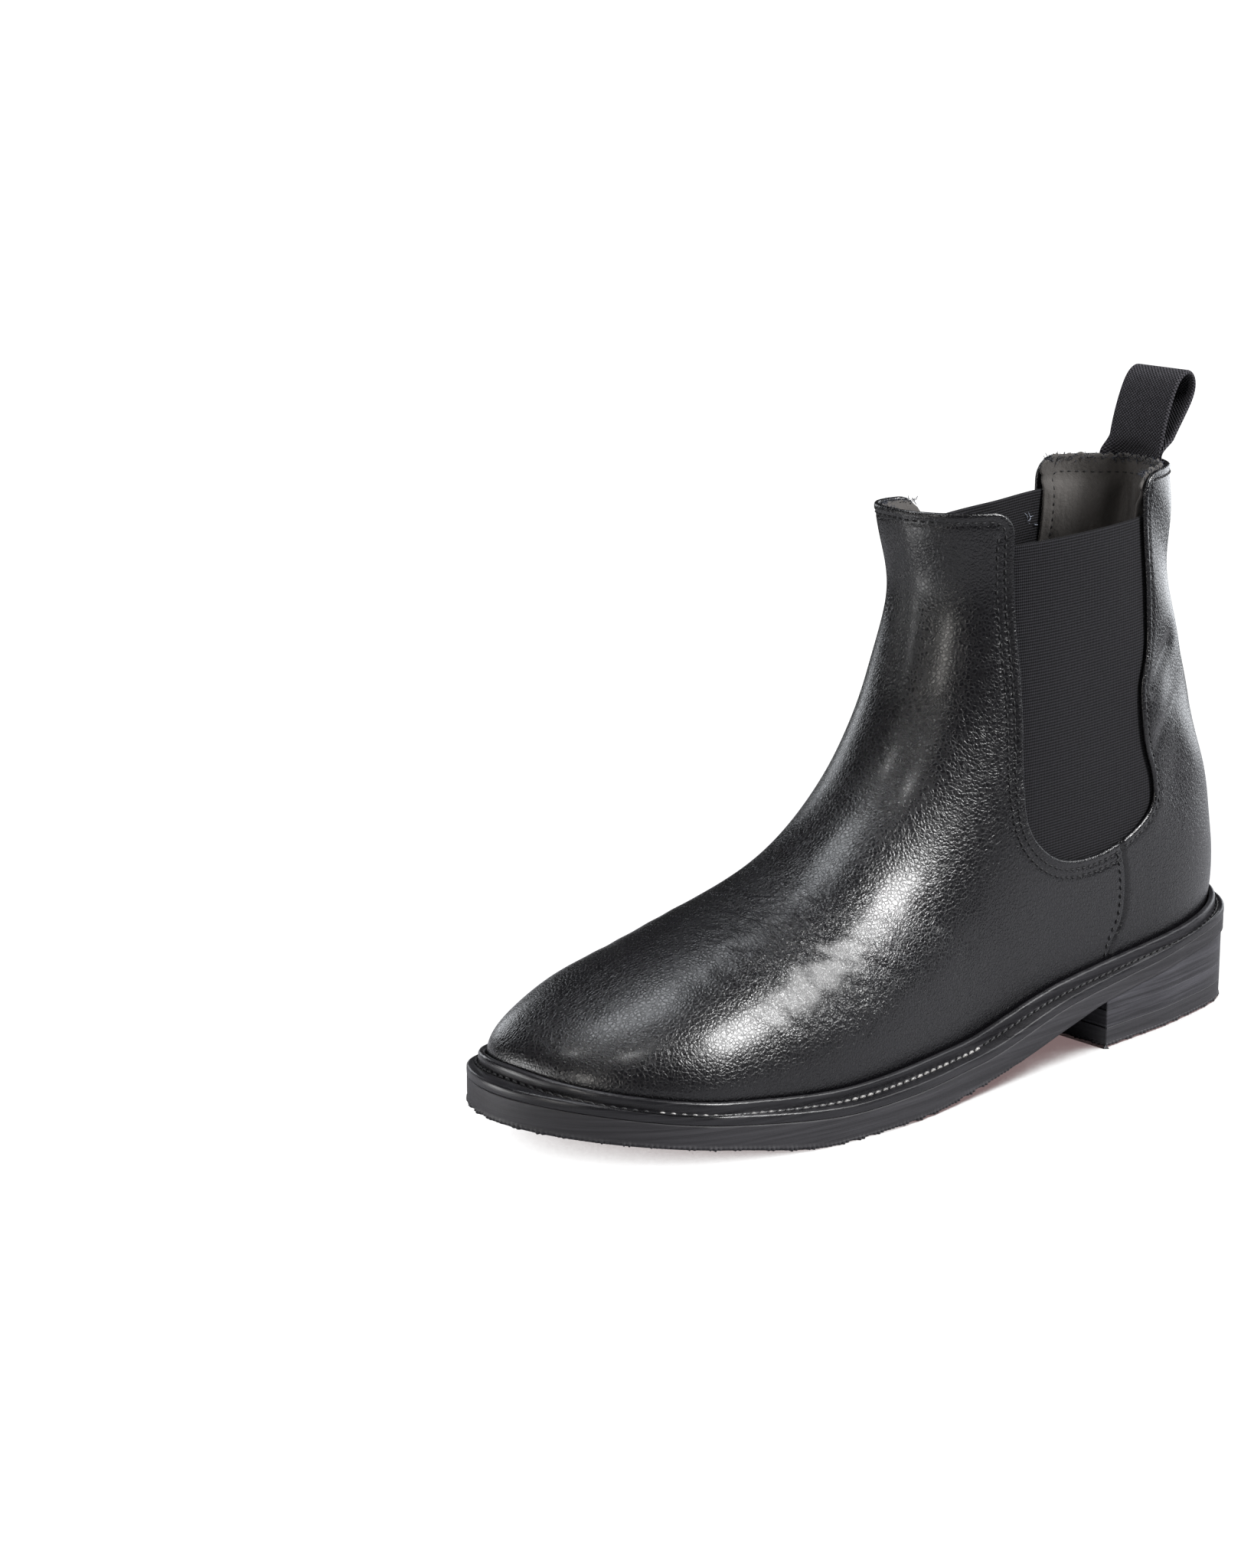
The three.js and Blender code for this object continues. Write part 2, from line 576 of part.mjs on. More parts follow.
function addOuterLeather() {
  const leather = toSolid(layer([0, LEATHER]));
  const front = intersect(leather, sidePrism(frontOutline(0)));
  add("vamp", intersect(front, belowFold), materials.leather);
  add("shaft_front", intersect(front, aboveFold), materials.leather);
  const rear = rearOutline(0);
  add("quarter_lateral", intersect(leather, sidePrism(rear, GAP / 2, 90)), materials.leather);
  add("quarter_medial", intersect(leather, sidePrism(rear, -90, -GAP / 2)), materials.leather);

  const stay = toSolid(layer(BACKSTAY_DEPTH));
  const half = BACKSTAY_HALF_WIDTH;
  const stripe = box([-half, REAR_HALF_Y, BACKSTAY_BOTTOM_Z], [half, 200, BACKSTAY_TOP_Z]);
  add("backstay", intersect(stay, stripe), materials.leather);
}

function goreOutline(lift) {
  const line = goreEdge(GORE_UNDERLAP).slice(1, -1);
  const slope = (GORE_TOP_REAR_Z - GORE_TOP_FRONT_Z) / (GORE_EDGE.at(-1)[0] - GORE_EDGE[0][0]);
  const topAt = (y) => GORE_TOP_FRONT_Z + lift + slope * (y - GORE_EDGE[0][0]);
  const under = line.filter(([y, z]) => z < topAt(y) - 2);
  const [frontY, rearY] = [under[0][0], under.at(-1)[0]];
  return [[frontY, topAt(frontY)], ...under, [rearY, topAt(rearY)]].toReversed();
}

function addInnerLayer() {
  const middle = toSolid(layer(STIFFENER_DEPTH));
  add("gore_lateral", intersect(middle, sidePrism(goreOutline(0), 2, 90)), materials.elastic);
  const medial = goreOutline(MEDIAL_GORE_RISE);
  add("gore_medial", intersect(middle, sidePrism(medial, -90, -2)), materials.elastic);
  add("toe_puff", intersect(middle, sidePrism(TOE_PUFF)), materials.stiffener);
  add("heel_counter", intersect(middle, sidePrism(HEEL_COUNTER)), materials.stiffener);
  const tuckedIn = box([-TAB_WIDTH / 2, REAR_HALF_Y, TAB_TUCK_Z], [TAB_WIDTH / 2, 200, TAB_ENDS_TOP_Z]);
  add("pull_tab_ends", intersect(middle, tuckedIn), materials.webbing);
}

function addLining() {
  const recess = 1;
  const lining = toSolid(layer(LINING_DEPTH));
  const front = intersect(lining, sidePrism(frontOutline(recess)));
  add("vamp_lining", intersect(front, belowFold), materials.lining);
  add("shaft_front_lining", intersect(front, aboveFold), materials.lining);
  add("quarter_lining", intersect(lining, sidePrism(rearOutline(recess))), materials.lining);
}

// The pull tab: one length of webbing folded into a standing loop that leans back.
function addPullTab() {
  const loop = [
    [-0.9, TAB_FOLD_Z], [-0.2, 189], [2.6, 199], [6.2, 206.5], [10.5, 209], [13.6, 206], [12.6, 200],
    [5.5, 189], [0.9, TAB_FOLD_Z],
  ];
  const rise = smoothLine(loop.map(([back, z]) => [TAB_ROOT_Y + back, z]), TAB_STEPS);
  const sideOf = (distance) => rise.map((p, i) => {
    const before = rise[Math.max(i - 1, 0)];
    const after = rise[Math.min(i + 1, rise.length - 1)];
    const along = [after[0] - before[0], after[1] - before[1]];
    const size = Math.hypot(...along);
    return [p[0] - (distance * along[1]) / size, p[1] + (distance * along[0]) / size];
  });
  const half = TAB_THICKNESS / 2;
  const outline = [...sideOf(half), ...sideOf(-half).toReversed()];
  add("pull_tab", sidePrism(outline, -TAB_WIDTH / 2, TAB_WIDTH / 2), materials.webbing);
}

addSoleUnit();
addWelt();
addFootbed();
addOuterLeather();
addInnerLayer();
addLining();
addPullTab();

boot.position.set(-MIDDLE_X, -MIDDLE_Y, 0);

export default boot;
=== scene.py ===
import math

import bpy
import numpy as np
from mathutils import Matrix


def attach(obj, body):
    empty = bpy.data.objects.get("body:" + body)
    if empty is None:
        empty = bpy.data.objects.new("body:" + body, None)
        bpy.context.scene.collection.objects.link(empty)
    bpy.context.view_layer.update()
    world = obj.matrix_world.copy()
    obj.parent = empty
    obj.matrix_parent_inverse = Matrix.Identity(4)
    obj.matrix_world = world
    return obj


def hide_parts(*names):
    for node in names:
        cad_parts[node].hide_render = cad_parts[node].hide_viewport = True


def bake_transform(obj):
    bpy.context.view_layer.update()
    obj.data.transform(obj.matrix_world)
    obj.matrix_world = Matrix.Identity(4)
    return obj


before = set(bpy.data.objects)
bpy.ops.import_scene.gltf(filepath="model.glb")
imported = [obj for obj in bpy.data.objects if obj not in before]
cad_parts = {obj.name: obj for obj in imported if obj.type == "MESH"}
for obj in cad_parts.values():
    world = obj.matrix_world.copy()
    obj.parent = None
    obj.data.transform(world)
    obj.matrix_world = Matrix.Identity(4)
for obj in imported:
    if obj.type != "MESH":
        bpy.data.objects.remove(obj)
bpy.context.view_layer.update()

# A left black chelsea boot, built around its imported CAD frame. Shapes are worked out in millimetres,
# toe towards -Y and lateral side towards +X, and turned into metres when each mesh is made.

RNG = np.random.default_rng(7)

# ---------- driving dimensions, millimetres ----------
HALF_LENGTH = 150
WELT_THICKNESS = 3
WELT_MARGIN = 6.5
GAP = 0.3
HEEL_BREAST_Y = 66
TOP_LIFT_HEIGHT = 6.6
LIFT_JOIN_Z = 12.6
HEEL_INSET = 0.6
SOLE_TEETH = 430
HEEL_TEETH = 150
STEPS_PER_TOOTH = 5
LEATHER = 1.6
QUARTER_LEATHER = 1.5
ELASTIC_THICKNESS = 1.2
LINING_THICKNESS = 1.0
BACKSTAY_LIFT = 1.45
GORE_DEPTH = 1.9
LINING_DEPTH = 3.4
FRONT_COLLAR_Z = 175
REAR_COLLAR_Z = 181
COLLAR_CORNER_RADIUS = 7
GORE_TOP_FRONT_Z = 164
GORE_TOP_REAR_Z = 167
MEDIAL_GORE_RISE = 3.5
BACKSTAY_HALF_WIDTH = 10.5
BACKSTAY_TOP_Z = 176
TAB_WIDTH = 22.5
TAB_SIDE_LEAN = 0.03
TAB_THICKNESS = 1.5
TAB_FOLD_Z = 183.3
TAB_END_Z = 160
TAB_ROOT_Y = 114.3
TAB_MIDDLE_X = 1.0
TAB_FRONT_DEPTH = 3.1
TAB_REAR_DEPTH = 2.1
AROUND = 460
ROWS = 190
SHELL_TOP_Z = 190
MEDIAL_SAG = 12  # how far the unworn collar leans in on the medial side
ANKLE_GUIDE_Z = 105

# Overlaps and depths where the upper's panels meet.
REAR_HALF_Y = 60
SEAM_OVERLAP = 4.0
QUARTER_TUCK = 1.75
GORE_OVERLAP = 5
BACKSTAY_MIDDLE_X = 0.3
BACKSTAY_END_Z = 37
COLLAR_THINNING = 1.5
TAB_ALLOWANCE = 0.4
FRONT_LINING_RECESS = 1.0
REAR_LINING_RECESS = 0.8
RAGGED_FROM_Z = 176

# Distances of the stitch rows from the panels' edges.
FRONT_ROW = 2.4
FRONT_SECOND_ROW = 4.9
SECOND_ROW_TOP_Z = 167
SEAM_ROW = 1.8
SEAM_ROW_TOP_Z = 62
REAR_ROW = 2.0
BACKSTAY_ROW = 1.5
LINING_ROW = 4.6

# Camera, in degrees and millimetres.
CAMERA_AZIMUTH = 49.0
CAMERA_ELEVATION = 13.75
CAMERA_ROLL = 0.19
CAMERA_AIM_Z = 60
CAMERA_DISTANCE = 1142.5
CAMERA_LEFT = 77.46
CAMERA_UP = 29.25
SENSOR_WIDTH = 36
FOCAL_LENGTH = 84.1

# Stage and lights, in metres and degrees.
FLOOR_RADIUS = 0.62
SHADE_SAMPLES = 12
WHITE, COOL, WARM = (1, 1, 1), (0.93, 0.96, 1.0), (1.0, 0.97, 0.93)
TOE = (0, -0.12, 0.03)


# ---------- interpolation ----------

def through(stations):
    """A monotone cubic curve through [t, value] stations, as in the CAD source."""
    t, value = np.array(stations, float).T
    slope = np.diff(value) / np.diff(t)
    tangent = np.concatenate([slope[:1], np.zeros(len(t) - 2), slope[-1:]])
    product = slope[:-1] * slope[1:]
    rising = product > 0
    tangent[1:-1][rising] = 2 * product[rising] / (slope[:-1] + slope[1:])[rising]

    def curve(x):
        x = np.clip(x, t[0], t[-1])
        i = np.clip(np.searchsorted(t, x, side="left") - 1, 0, len(t) - 2)
        h = t[i + 1] - t[i]
        s = (x - t[i]) / h
        start = value[i] * (1 + 2 * s) * (1 - s) ** 2 + tangent[i] * h * s * (1 - s) ** 2
        return start + value[i + 1] * s * s * (3 - 2 * s) + tangent[i + 1] * h * s * s * (s - 1)

    return curve


def spaced(points, count, closed=False):
    """Evenly spaced points along a polyline."""
    points = np.asarray(points, float)
    if closed:
        points = np.vstack([points, points[:1]])
    length = np.concatenate([[0], np.cumsum(np.linalg.norm(np.diff(points, axis=0), axis=1))])
    at = np.linspace(0, length[-1], count, endpoint=not closed)
    return np.stack([np.interp(at, length, column) for column in points.T], axis=1)


def smooth_curve(points, count, closed=False):
    """Evenly spaced points on a Catmull-Rom curve through given points."""
    points = np.asarray(points, float)
    if closed:
        padded = np.vstack([points[-1:], points, points[:2]])
    else:
        padded = np.vstack([2 * points[:1] - points[1:2], points, 2 * points[-1:] - points[-2:-1]])
    fine = []
    for p0, p1, p2, p3 in zip(padded[:-3], padded[1:-2], padded[2:-1], padded[3:]):
        t = np.linspace(0, 1, 60, endpoint=False)[:, None]
        fine.append(0.5 * (2 * p1 + (p2 - p0) * t + (2 * p0 - 5 * p1 + 4 * p2 - p3) * t ** 2
                           + (3 * p1 - p0 - 3 * p2 + p3) * t ** 3))
    fine = np.vstack(fine)
    if not closed:
        fine = np.vstack([fine, points[-1:]])
    return spaced(fine, count, closed)


def smoothstep(x, low, high):
    s = np.clip((x - low) / (high - low), 0, 1)
    return s * s * (3 - 2 * s)


def bell(x, middle, width):
    return np.exp(-(((x - middle) / width) ** 2))


# ---------- the sole's outline and levels ----------

SOLE_OUTLINE = [
    (0, 150), (25, 139), (35, 106), (38.5, 76), (42, 37), (46, 2), (51, -33), (51, -70), (42, -111),
    (22, -139), (-4, -150), (-31, -138), (-46.5, -105), (-47, -62), (-40, -20), (-36, 22), (-36, 62),
    (-36, 106), (-26, 138),
]
weltTop = through([(-150, 24), (-100, 16), (-50, 11.7), (0, 13.2), (50, 22), (100, 27.3), (150, 33)])
soleBottom = through([(-150, 12), (-100, 4.9), (-64, 0), (-24, 0), (0, 1.9), (20, 5.3), (50, 12),
                      (66, 15.5), (100, 19.5), (150, 24.5)])


def sole_ring(count):
    return smooth_curve(SOLE_OUTLINE, count, closed=True)


def inset(ring, distance):
    """Moves each point of a clockwise ring inwards."""
    along = np.roll(ring, -1, 0) - np.roll(ring, 1, 0)
    along /= np.linalg.norm(along, axis=1)[:, None]
    return ring + np.stack([along[:, 1], -along[:, 0]], axis=1) * np.reshape(distance, (-1, 1))


SOLE_RING = sole_ring(AROUND)
CAD_RING = sole_ring(52)  # the CAD source's own ring, which sets its origin
MIDDLE = np.array([*(CAD_RING.max(0) + CAD_RING.min(0)) / 2, 0])

# ---------- the upper's outer surface ----------

footCentre = through([(-150, -6), (-125, -5), (-98, -2.5), (-70, 0), (-40, 1.5), (-10, 1), (20, 0),
                      (150, 0)])
footLateral = through([(-150, 40), (-125, 41.5), (-98, 44.5), (-70, 44.5), (-40, 43), (-10, 40), (20, 36.5),
                       (50, 33), (100, 30), (150, 30)])
footMedial = through([(-150, 36), (-125, 36), (-98, 41.5), (-70, 44), (-40, 41.5), (-10, 38), (20, 35.5),
                      (50, 33), (100, 30), (150, 30)])
footRidge = through([(-150, 15), (-125, 21.5), (-98, 32), (-70, 43.5), (-40, 55), (-10, 67), (20, 80),
                     (50, 92), (100, 98), (150, 98)])
shaftFront = through([(20, 18), (45, 8), (70, 2), (95, 5), (120, 11), (145, 13), (170, 7), (190, 4)])
shaftBack = through([(20, 126), (45, 127), (70, 123.5), (95, 115.5), (120, 110), (145, 111), (170, 116),
                     (190, 117)])
shaftHalfWidth = through([(20, 24), (45, 26), (70, 28.5), (95, 30), (120, 30), (145, 29.5), (190, 30)])
TOE_START_Y = -98
TOE_LENGTH = 43
HEEL_START_Y = 95
HEEL_LENGTH = 46.5
WALL_RISE = 11
wallRise = through([(-150, 2.5), (-98, 3.5), (-60, 6.5), (-10, WALL_RISE), (150, WALL_RISE)])


# The upper is two rounded bodies, foot and shaft, eased into each other. Each field is close to
# millimetres from its own surface.
TUCK_SHARE = 0.035  # how far the wall draws in below its fullest height
PLAN_POWER = 2.3
FOOT_SCALE = 30
SHAFT_POWER = 2.45
SHAFT_SCALE = 34
EASE_WIDTH = 26


def upper_field(p):
    """Negative inside the boot, zero on its outer surface."""
    x, y, z = p[..., 0], p[..., 1], p[..., 2]
    along = np.clip(y, -HALF_LENGTH, HALF_LENGTH)
    side = x - footCentre(along)
    half_width = np.where(side > 0, footLateral(along), footMedial(along))
    wall_top = weltTop(along) + wallRise(along)
    tuck = 1 - TUCK_SHARE * np.clip((wall_top - z) / wallRise(along), 0, 1.2) ** 2
    across = np.abs(side) / (half_width * tuck)
    toe = np.maximum(0, TOE_START_Y - y) / (TOE_LENGTH * tuck)
    heel = np.maximum(0, y - HEEL_START_Y) / (HEEL_LENGTH * tuck)
    plan = (across ** PLAN_POWER + toe ** PLAN_POWER + heel ** PLAN_POWER) ** (1 / PLAN_POWER)
    rise = np.maximum((z - wall_top) / (footRidge(along) + 3 - wallRise(along)), 0)
    foot = ((plan ** 2.5 + rise ** 2) ** (1 / 2.3) - 1) * FOOT_SCALE
    level = np.clip(z, 0, 200)
    middle = (shaftFront(level) + shaftBack(level)) / 2
    reach = (shaftBack(level) - shaftFront(level)) / 2
    sideways = np.abs(x / shaftHalfWidth(level)) ** SHAFT_POWER
    lengthways = np.abs((y - middle) / reach) ** SHAFT_POWER
    shaft = ((sideways + lengthways) ** (1 / SHAFT_POWER) - 1) * SHAFT_SCALE
    mix = np.clip(0.5 + 0.5 * (shaft - foot) / EASE_WIDTH, 0, 1)
    return shaft + (foot - shaft) * mix - EASE_WIDTH * mix * (1 - mix)


def upper_slope(p):
    step = 0.5
    return np.stack([
        (upper_field(p + step * axis) - upper_field(p - step * axis)) / (2 * step) for axis in np.eye(3)
    ], axis=-1)


def onto_surface(p, flat_rows=()):
    """Moves points onto the outer surface; the listed rows keep their height."""
    p = p.copy()
    for _ in range(12):
        slope = upper_slope(p)
        for row in flat_rows:
            slope[row, :, 2] = 0
        size = np.maximum((slope ** 2).sum(-1), 1e-4)
        p -= np.clip(upper_field(p) / size, -15, 15)[..., None] * slope
    return p


def oval_ring(z, count):
    turn = np.linspace(0, 2 * np.pi, 720, endpoint=False)
    middle = (shaftFront(z) + shaftBack(z)) / 2
    reach = (shaftBack(z) - shaftFront(z)) / 2
    ellipse = np.stack([shaftHalfWidth(z) * np.sin(turn), middle + reach * np.cos(turn)], axis=1)
    return spaced(ellipse, count, closed=True)


def level_ring(ring, z):
    return np.column_stack([ring, np.broadcast_to(z, len(ring))])


def ease_grid(grid, passes):
    """Evens out the grid along its rows and columns, with the first and last rows kept."""
    for _ in range(passes):
        around = (np.roll(grid, 1, 1) + np.roll(grid, -1, 1)) / 2
        grid = grid + 0.5 * (around - grid)
        along = (grid[:-2] + grid[2:]) / 2
        grid[1:-1] += 0.5 * (along - grid[1:-1])
    return grid


def grid_normals(grid):
    around = np.roll(grid, -1, 1) - np.roll(grid, 1, 1)
    along = np.gradient(grid, axis=0)
    normal = np.cross(along, around)
    return normal / np.linalg.norm(normal, axis=-1)[..., None]


def outer_surface():
    feather = inset(SOLE_RING, WELT_MARGIN)
    turn = 2 * np.pi * np.arange(AROUND) / AROUND
    toeward = (1 - np.cos(turn)) / 2
    middle = np.column_stack([0.85 * feather[:, 0], 0.86 * feather[:, 1] + 16 * toeward - 4,
                              62 + 16 * toeward ** 6 - 6 * np.sin(turn) ** 2])
    guides = np.stack([
        level_ring(feather, weltTop(feather[:, 1]) + GAP),
        level_ring(feather, weltTop(feather[:, 1]) + WALL_RISE),
        middle,
        level_ring(oval_ring(ANKLE_GUIDE_Z, AROUND), ANKLE_GUIDE_Z),
        level_ring(oval_ring(SHELL_TOP_Z, AROUND), SHELL_TOP_Z),
    ])
    knots = np.array([0, 0.1, 0.36, 0.62, 1])
    share = np.linspace(0, 1, ROWS)
    start = np.empty((ROWS, AROUND, 3))
    for i in range(AROUND):
        for k in range(3):
            start[:, i, k] = through(np.column_stack([knots, guides[:, i, k]]))(share)
    edge_rows = (0, ROWS - 1)
    grid = ease_grid(onto_surface(start, edge_rows), 16)
    return relax(grid)


def relax(grid):
    """The unworn shaft closes in a little on its medial side, most of all at the collar."""
    x, y, z = grid[..., 0], grid[..., 1], grid[..., 2]
    share = smoothstep(z, 110, 172) * smoothstep(y, 6, 38) * smoothstep(-x, 0, 20)
    share *= 1 - 0.42 * smoothstep(y, 62, 98)
    moved = grid.copy()
    moved[..., 0] += MEDIAL_SAG * share
    return moved


def crease_distance(grid, points):
    """Distance in space from each surface point to a given crease."""
    best = np.full(grid.shape[:2], 1e9)
    line = smooth_curve(points, 24)
    for a, b in zip(line[:-1], line[1:]):
        along = b - a
        t = np.clip(((grid - a) @ along) / (along @ along), 0, 1)
        best = np.minimum(best, ((grid - a - t[..., None] * along) ** 2).sum(-1))
    return np.sqrt(best)


# Folds pressed into the leather by wear and by lasting: points, depth, width and how far the sides puff up.
CREASES = [
    ([(18, -75, 56), (24, -68, 57), (31, -57, 54), (37, -45, 51), (41, -28, 42)], 0.14, 1.4, 0.45),
    ([(22, -85, 51), (31, -82, 47), (37, -79, 43), (43, -71, 35)], 0.12, 1.3, 0.4),
    ([(35, -66, 49), (40, -58, 40), (44, -46, 30)], 0.12, 1.6, 0.2),
    ([(26, -30, 60), (33, -14, 57), (38, 4, 46)], 0.1, 2.4, 0.2),
    ([(-24, -70, 57), (-33, -58, 51), (-39, -42, 42)], 0.12, 1.4, 0.3),
    ([(-22, -90, 50), (-33, -82, 44), (-41, -70, 34)], 0.1, 1.4, 0.3),
    ([(32, 92, 113), (30, 99, 120), (26, 106, 125)], 0.9, 3.2, 0.6),
    ([(31, 93, 93), (30, 101, 102), (25, 109, 107)], 0.45, 3.0, 0.35),
    ([(-18, 92, 112), (-19, 99, 120), (-16, 107, 126)], 0.7, 3.2, 0.4),
]


def flex_zone(x, y, z):
    """Where walking has crinkled the grain: over the ball, most of all towards the lateral side."""
    lateral = smoothstep(x, -22, 26) * 0.75 + 0.25
    return bell(y, -58, 22) * smoothstep(z, 27, 40) * lateral


def fold_relief(grid):
    """Outward movement of the upper, in millimetres, for its folds and its soft unevenness."""
    x, y, z = grid[..., 0], grid[..., 1], grid[..., 2]
    relief = np.zeros(x.shape)
    for points, depth, width, puff in CREASES:
        distance = crease_distance(grid, points)
        relief -= depth * np.exp(-((distance / width) ** 2))
        relief += 0.35 * puff * np.exp(-(((distance - 3.2 * width) / (1.8 * width)) ** 2))
    front = smoothstep(y, 34, 8)
    relief += 0.5 * bell(x, 4 - 0.05 * (z - 140), 4.5) * front * smoothstep(z, 96, 120)
    relief -= 0.15 * bell(x, 14, 5) * front * smoothstep(z, 100, 125) * smoothstep(z, 172, 160)
    instep = bell(z, 88, 22) * smoothstep(y, 30, -5) * smoothstep(y, -45, -20)
    relief += 0.35 * np.sin(x / 5.2 + z / 13 + 0.6) * instep
    relief -= 1.6 * bell(z, 98, 28) * smoothstep(y, 90, 108)
    quarter = smoothstep(y, 84, 96) * smoothstep(z, 60, 90)
    relief += 0.4 * np.sin(z / 6.4 + y / 9 + 0.8 * np.sin(x / 8)) * quarter * smoothstep(z, 182, 170)
    relief += 0.07 * np.sin(y / 2.3 + 2.2 * np.sin(x / 7)) * np.sin(x / 3.1 + y / 5) * flex_zone(x, y, z)
    relief += 0.16 * np.sin(x / 9 + 1.3) * np.sin(y / 11 + z / 15) * smoothstep(z, 20, 34)
    return relief


SMOOTH_SURFACE = outer_surface()
SMOOTH_NORMAL = grid_normals(SMOOTH_SURFACE)
SURFACE = SMOOTH_SURFACE + SMOOTH_NORMAL * fold_relief(SMOOTH_SURFACE)[..., None]
NORMAL = grid_normals(SURFACE)

# ---------- side-view outlines of the upper's panels, as (y, z) ----------

GORE_EDGE = [
    (30.5, 166), (31.5, 140), (31.5, 115), (30, 90), (33, 75), (45, 65), (62, 63), (80, 67), (91.5, 74.5),
    (92.5, 84), (87.5, 99), (87, 114), (91.5, 132), (89.5, 167),
]
SEAM_TOP_Y = 74.5
SIDE_SEAM = [(69.5, -10), (72.5, 28), (77.5, 40), (78, 52)]
GORE_LINE = smooth_curve(GORE_EDGE, 160)


def collar_corner(edge_y, top_z, direction):
    turn = np.linspace(0, np.pi / 2, 9)
    return np.column_stack([edge_y + direction * COLLAR_CORNER_RADIUS * (1 - np.cos(turn)),
                            top_z - COLLAR_CORNER_RADIUS * (1 - np.sin(turn))])


SPLIT = int(np.argmax((GORE_LINE[:, 0] > SEAM_TOP_Y) & (GORE_LINE[:, 1] < 80)))
FRONT_EDGE = np.vstack([
    [[-220, FRONT_COLLAR_Z]], collar_corner(GORE_LINE[0, 0], FRONT_COLLAR_Z, -1)[::-1], GORE_LINE[:SPLIT],
])
REAR_EDGE = np.vstack([
    GORE_LINE[SPLIT:], collar_corner(GORE_LINE[-1, 0], REAR_COLLAR_Z, 1), [[220, REAR_COLLAR_Z]],
])
SEAM_LINE = smooth_curve(SIDE_SEAM + [tuple(GORE_LINE[SPLIT])], 40)
FRONT_OUTLINE = np.vstack([FRONT_EDGE, SEAM_LINE[::-1], [[69.5, -40], [-220, -40]]])
REAR_OUTLINE = np.vstack([REAR_EDGE, [[220, -40], [69.5, -40]], SEAM_LINE])


def line_distance(y, z, line):
    """Distance in side view from each point to a polyline."""
    best = np.full(y.shape, 1e9)
    for (ay, az), (by, bz) in zip(line[:-1], line[1:]):
        dy, dz = by - ay, bz - az
        t = np.clip(((y - ay) * dy + (z - az) * dz) / max(dy * dy + dz * dz, 1e-9), 0, 1)
        best = np.minimum(best, (y - ay - t * dy) ** 2 + (z - az - t * dz) ** 2)
    return np.sqrt(best)


def inside_outline(y, z, outline):
    inside = np.zeros(y.shape, bool)
    for (ay, az), (by, bz) in zip(outline, np.roll(outline, -1, 0)):
        if az == bz:
            continue
        crosses = (az > z) != (bz > z)
        inside ^= crosses & (y < ay + (z - az) * (by - ay) / (bz - az))
    return inside


def signed_distance(grid, outline):
    """Positive inside a side-view outline, measured to its edge."""
    y, z = grid[..., 1], grid[..., 2]
    closed = np.vstack([outline, outline[:1]])
    distance = line_distance(y, z, closed)
    return np.where(inside_outline(y, z, outline), distance, -distance)


# ---------- meshes ----------

def make_object(name, vertices, faces, material, smooth=True):
    mesh = bpy.data.meshes.new(name)
    points = (np.asarray(vertices) - MIDDLE) / 1000
    mesh.from_pydata(points.tolist(), [], [list(map(int, face)) for face in faces])
    mesh.validate()
    mesh.polygons.foreach_set("use_smooth", [smooth] * len(mesh.polygons))
    piece = bpy.data.objects.new(name, mesh)
    bpy.context.scene.collection.objects.link(piece)
    piece.data.materials.append(material)
    return piece


def cut_grid(grid, normal, inside):
    """Keeps the part of a ring-shaped grid where inside is positive. Grid points close to the edge are
    moved onto it, and the faces that the edge crosses are clipped."""
    rows, around = inside.shape
    grid, normal, inside = grid.copy(), normal.copy(), inside.copy()
    snap = 0.3
    for step in ((0, 1), (0, -1), (1, 0), (-1, 0)):
        other = np.roll(inside, (-step[0], -step[1]), (0, 1))
        crosses = (inside > 0) != (other > 0)
        if step[0]:
            crosses[-1 if step[0] > 0 else 0] = False
        share = np.where(crosses, inside / np.where(crosses, inside - other, 1), 1)
        close = crosses & (share < snap) & (inside != 0)
        for values in (grid, normal):
            moved = np.roll(values, (-step[0], -step[1]), (0, 1))
            values[close] += (moved - values)[close] * share[close][:, None]
        inside[close] = 0
    points, normals, index = [], [], {}

    def vertex(key):
        if key not in index:
            index[key] = len(points)
            a, b = key
            if a == b:
                points.append(grid[a])
                normals.append(normal[a])
            else:
                share = inside[a] / (inside[a] - inside[b])
                points.append(grid[a] + (grid[b] - grid[a]) * share)
                normals.append(normal[a] + (normal[b] - normal[a]) * share)
        return index[key]

    faces = []
    for r in range(rows - 1):
        for i in range(around):
            j = (i + 1) % around
            corners = [(r, i), (r, j), (r + 1, j), (r + 1, i)]
            values = [inside[c] for c in corners]
            if max(values) <= 0:
                continue
            face = []
            following = corners[1:] + corners[:1]
            for a, b, value, after in zip(corners, following, values, values[1:] + values[:1]):
                if value >= 0:
                    face.append(vertex((a, a)))
                if value * after < 0:
                    face.append(vertex(tuple(sorted((a, b)))))
            if len(face) > 2:
                faces.append(face[::-1])
    normals = np.array(normals)
    return np.array(points), normals / np.linalg.norm(normals, axis=1)[:, None], faces


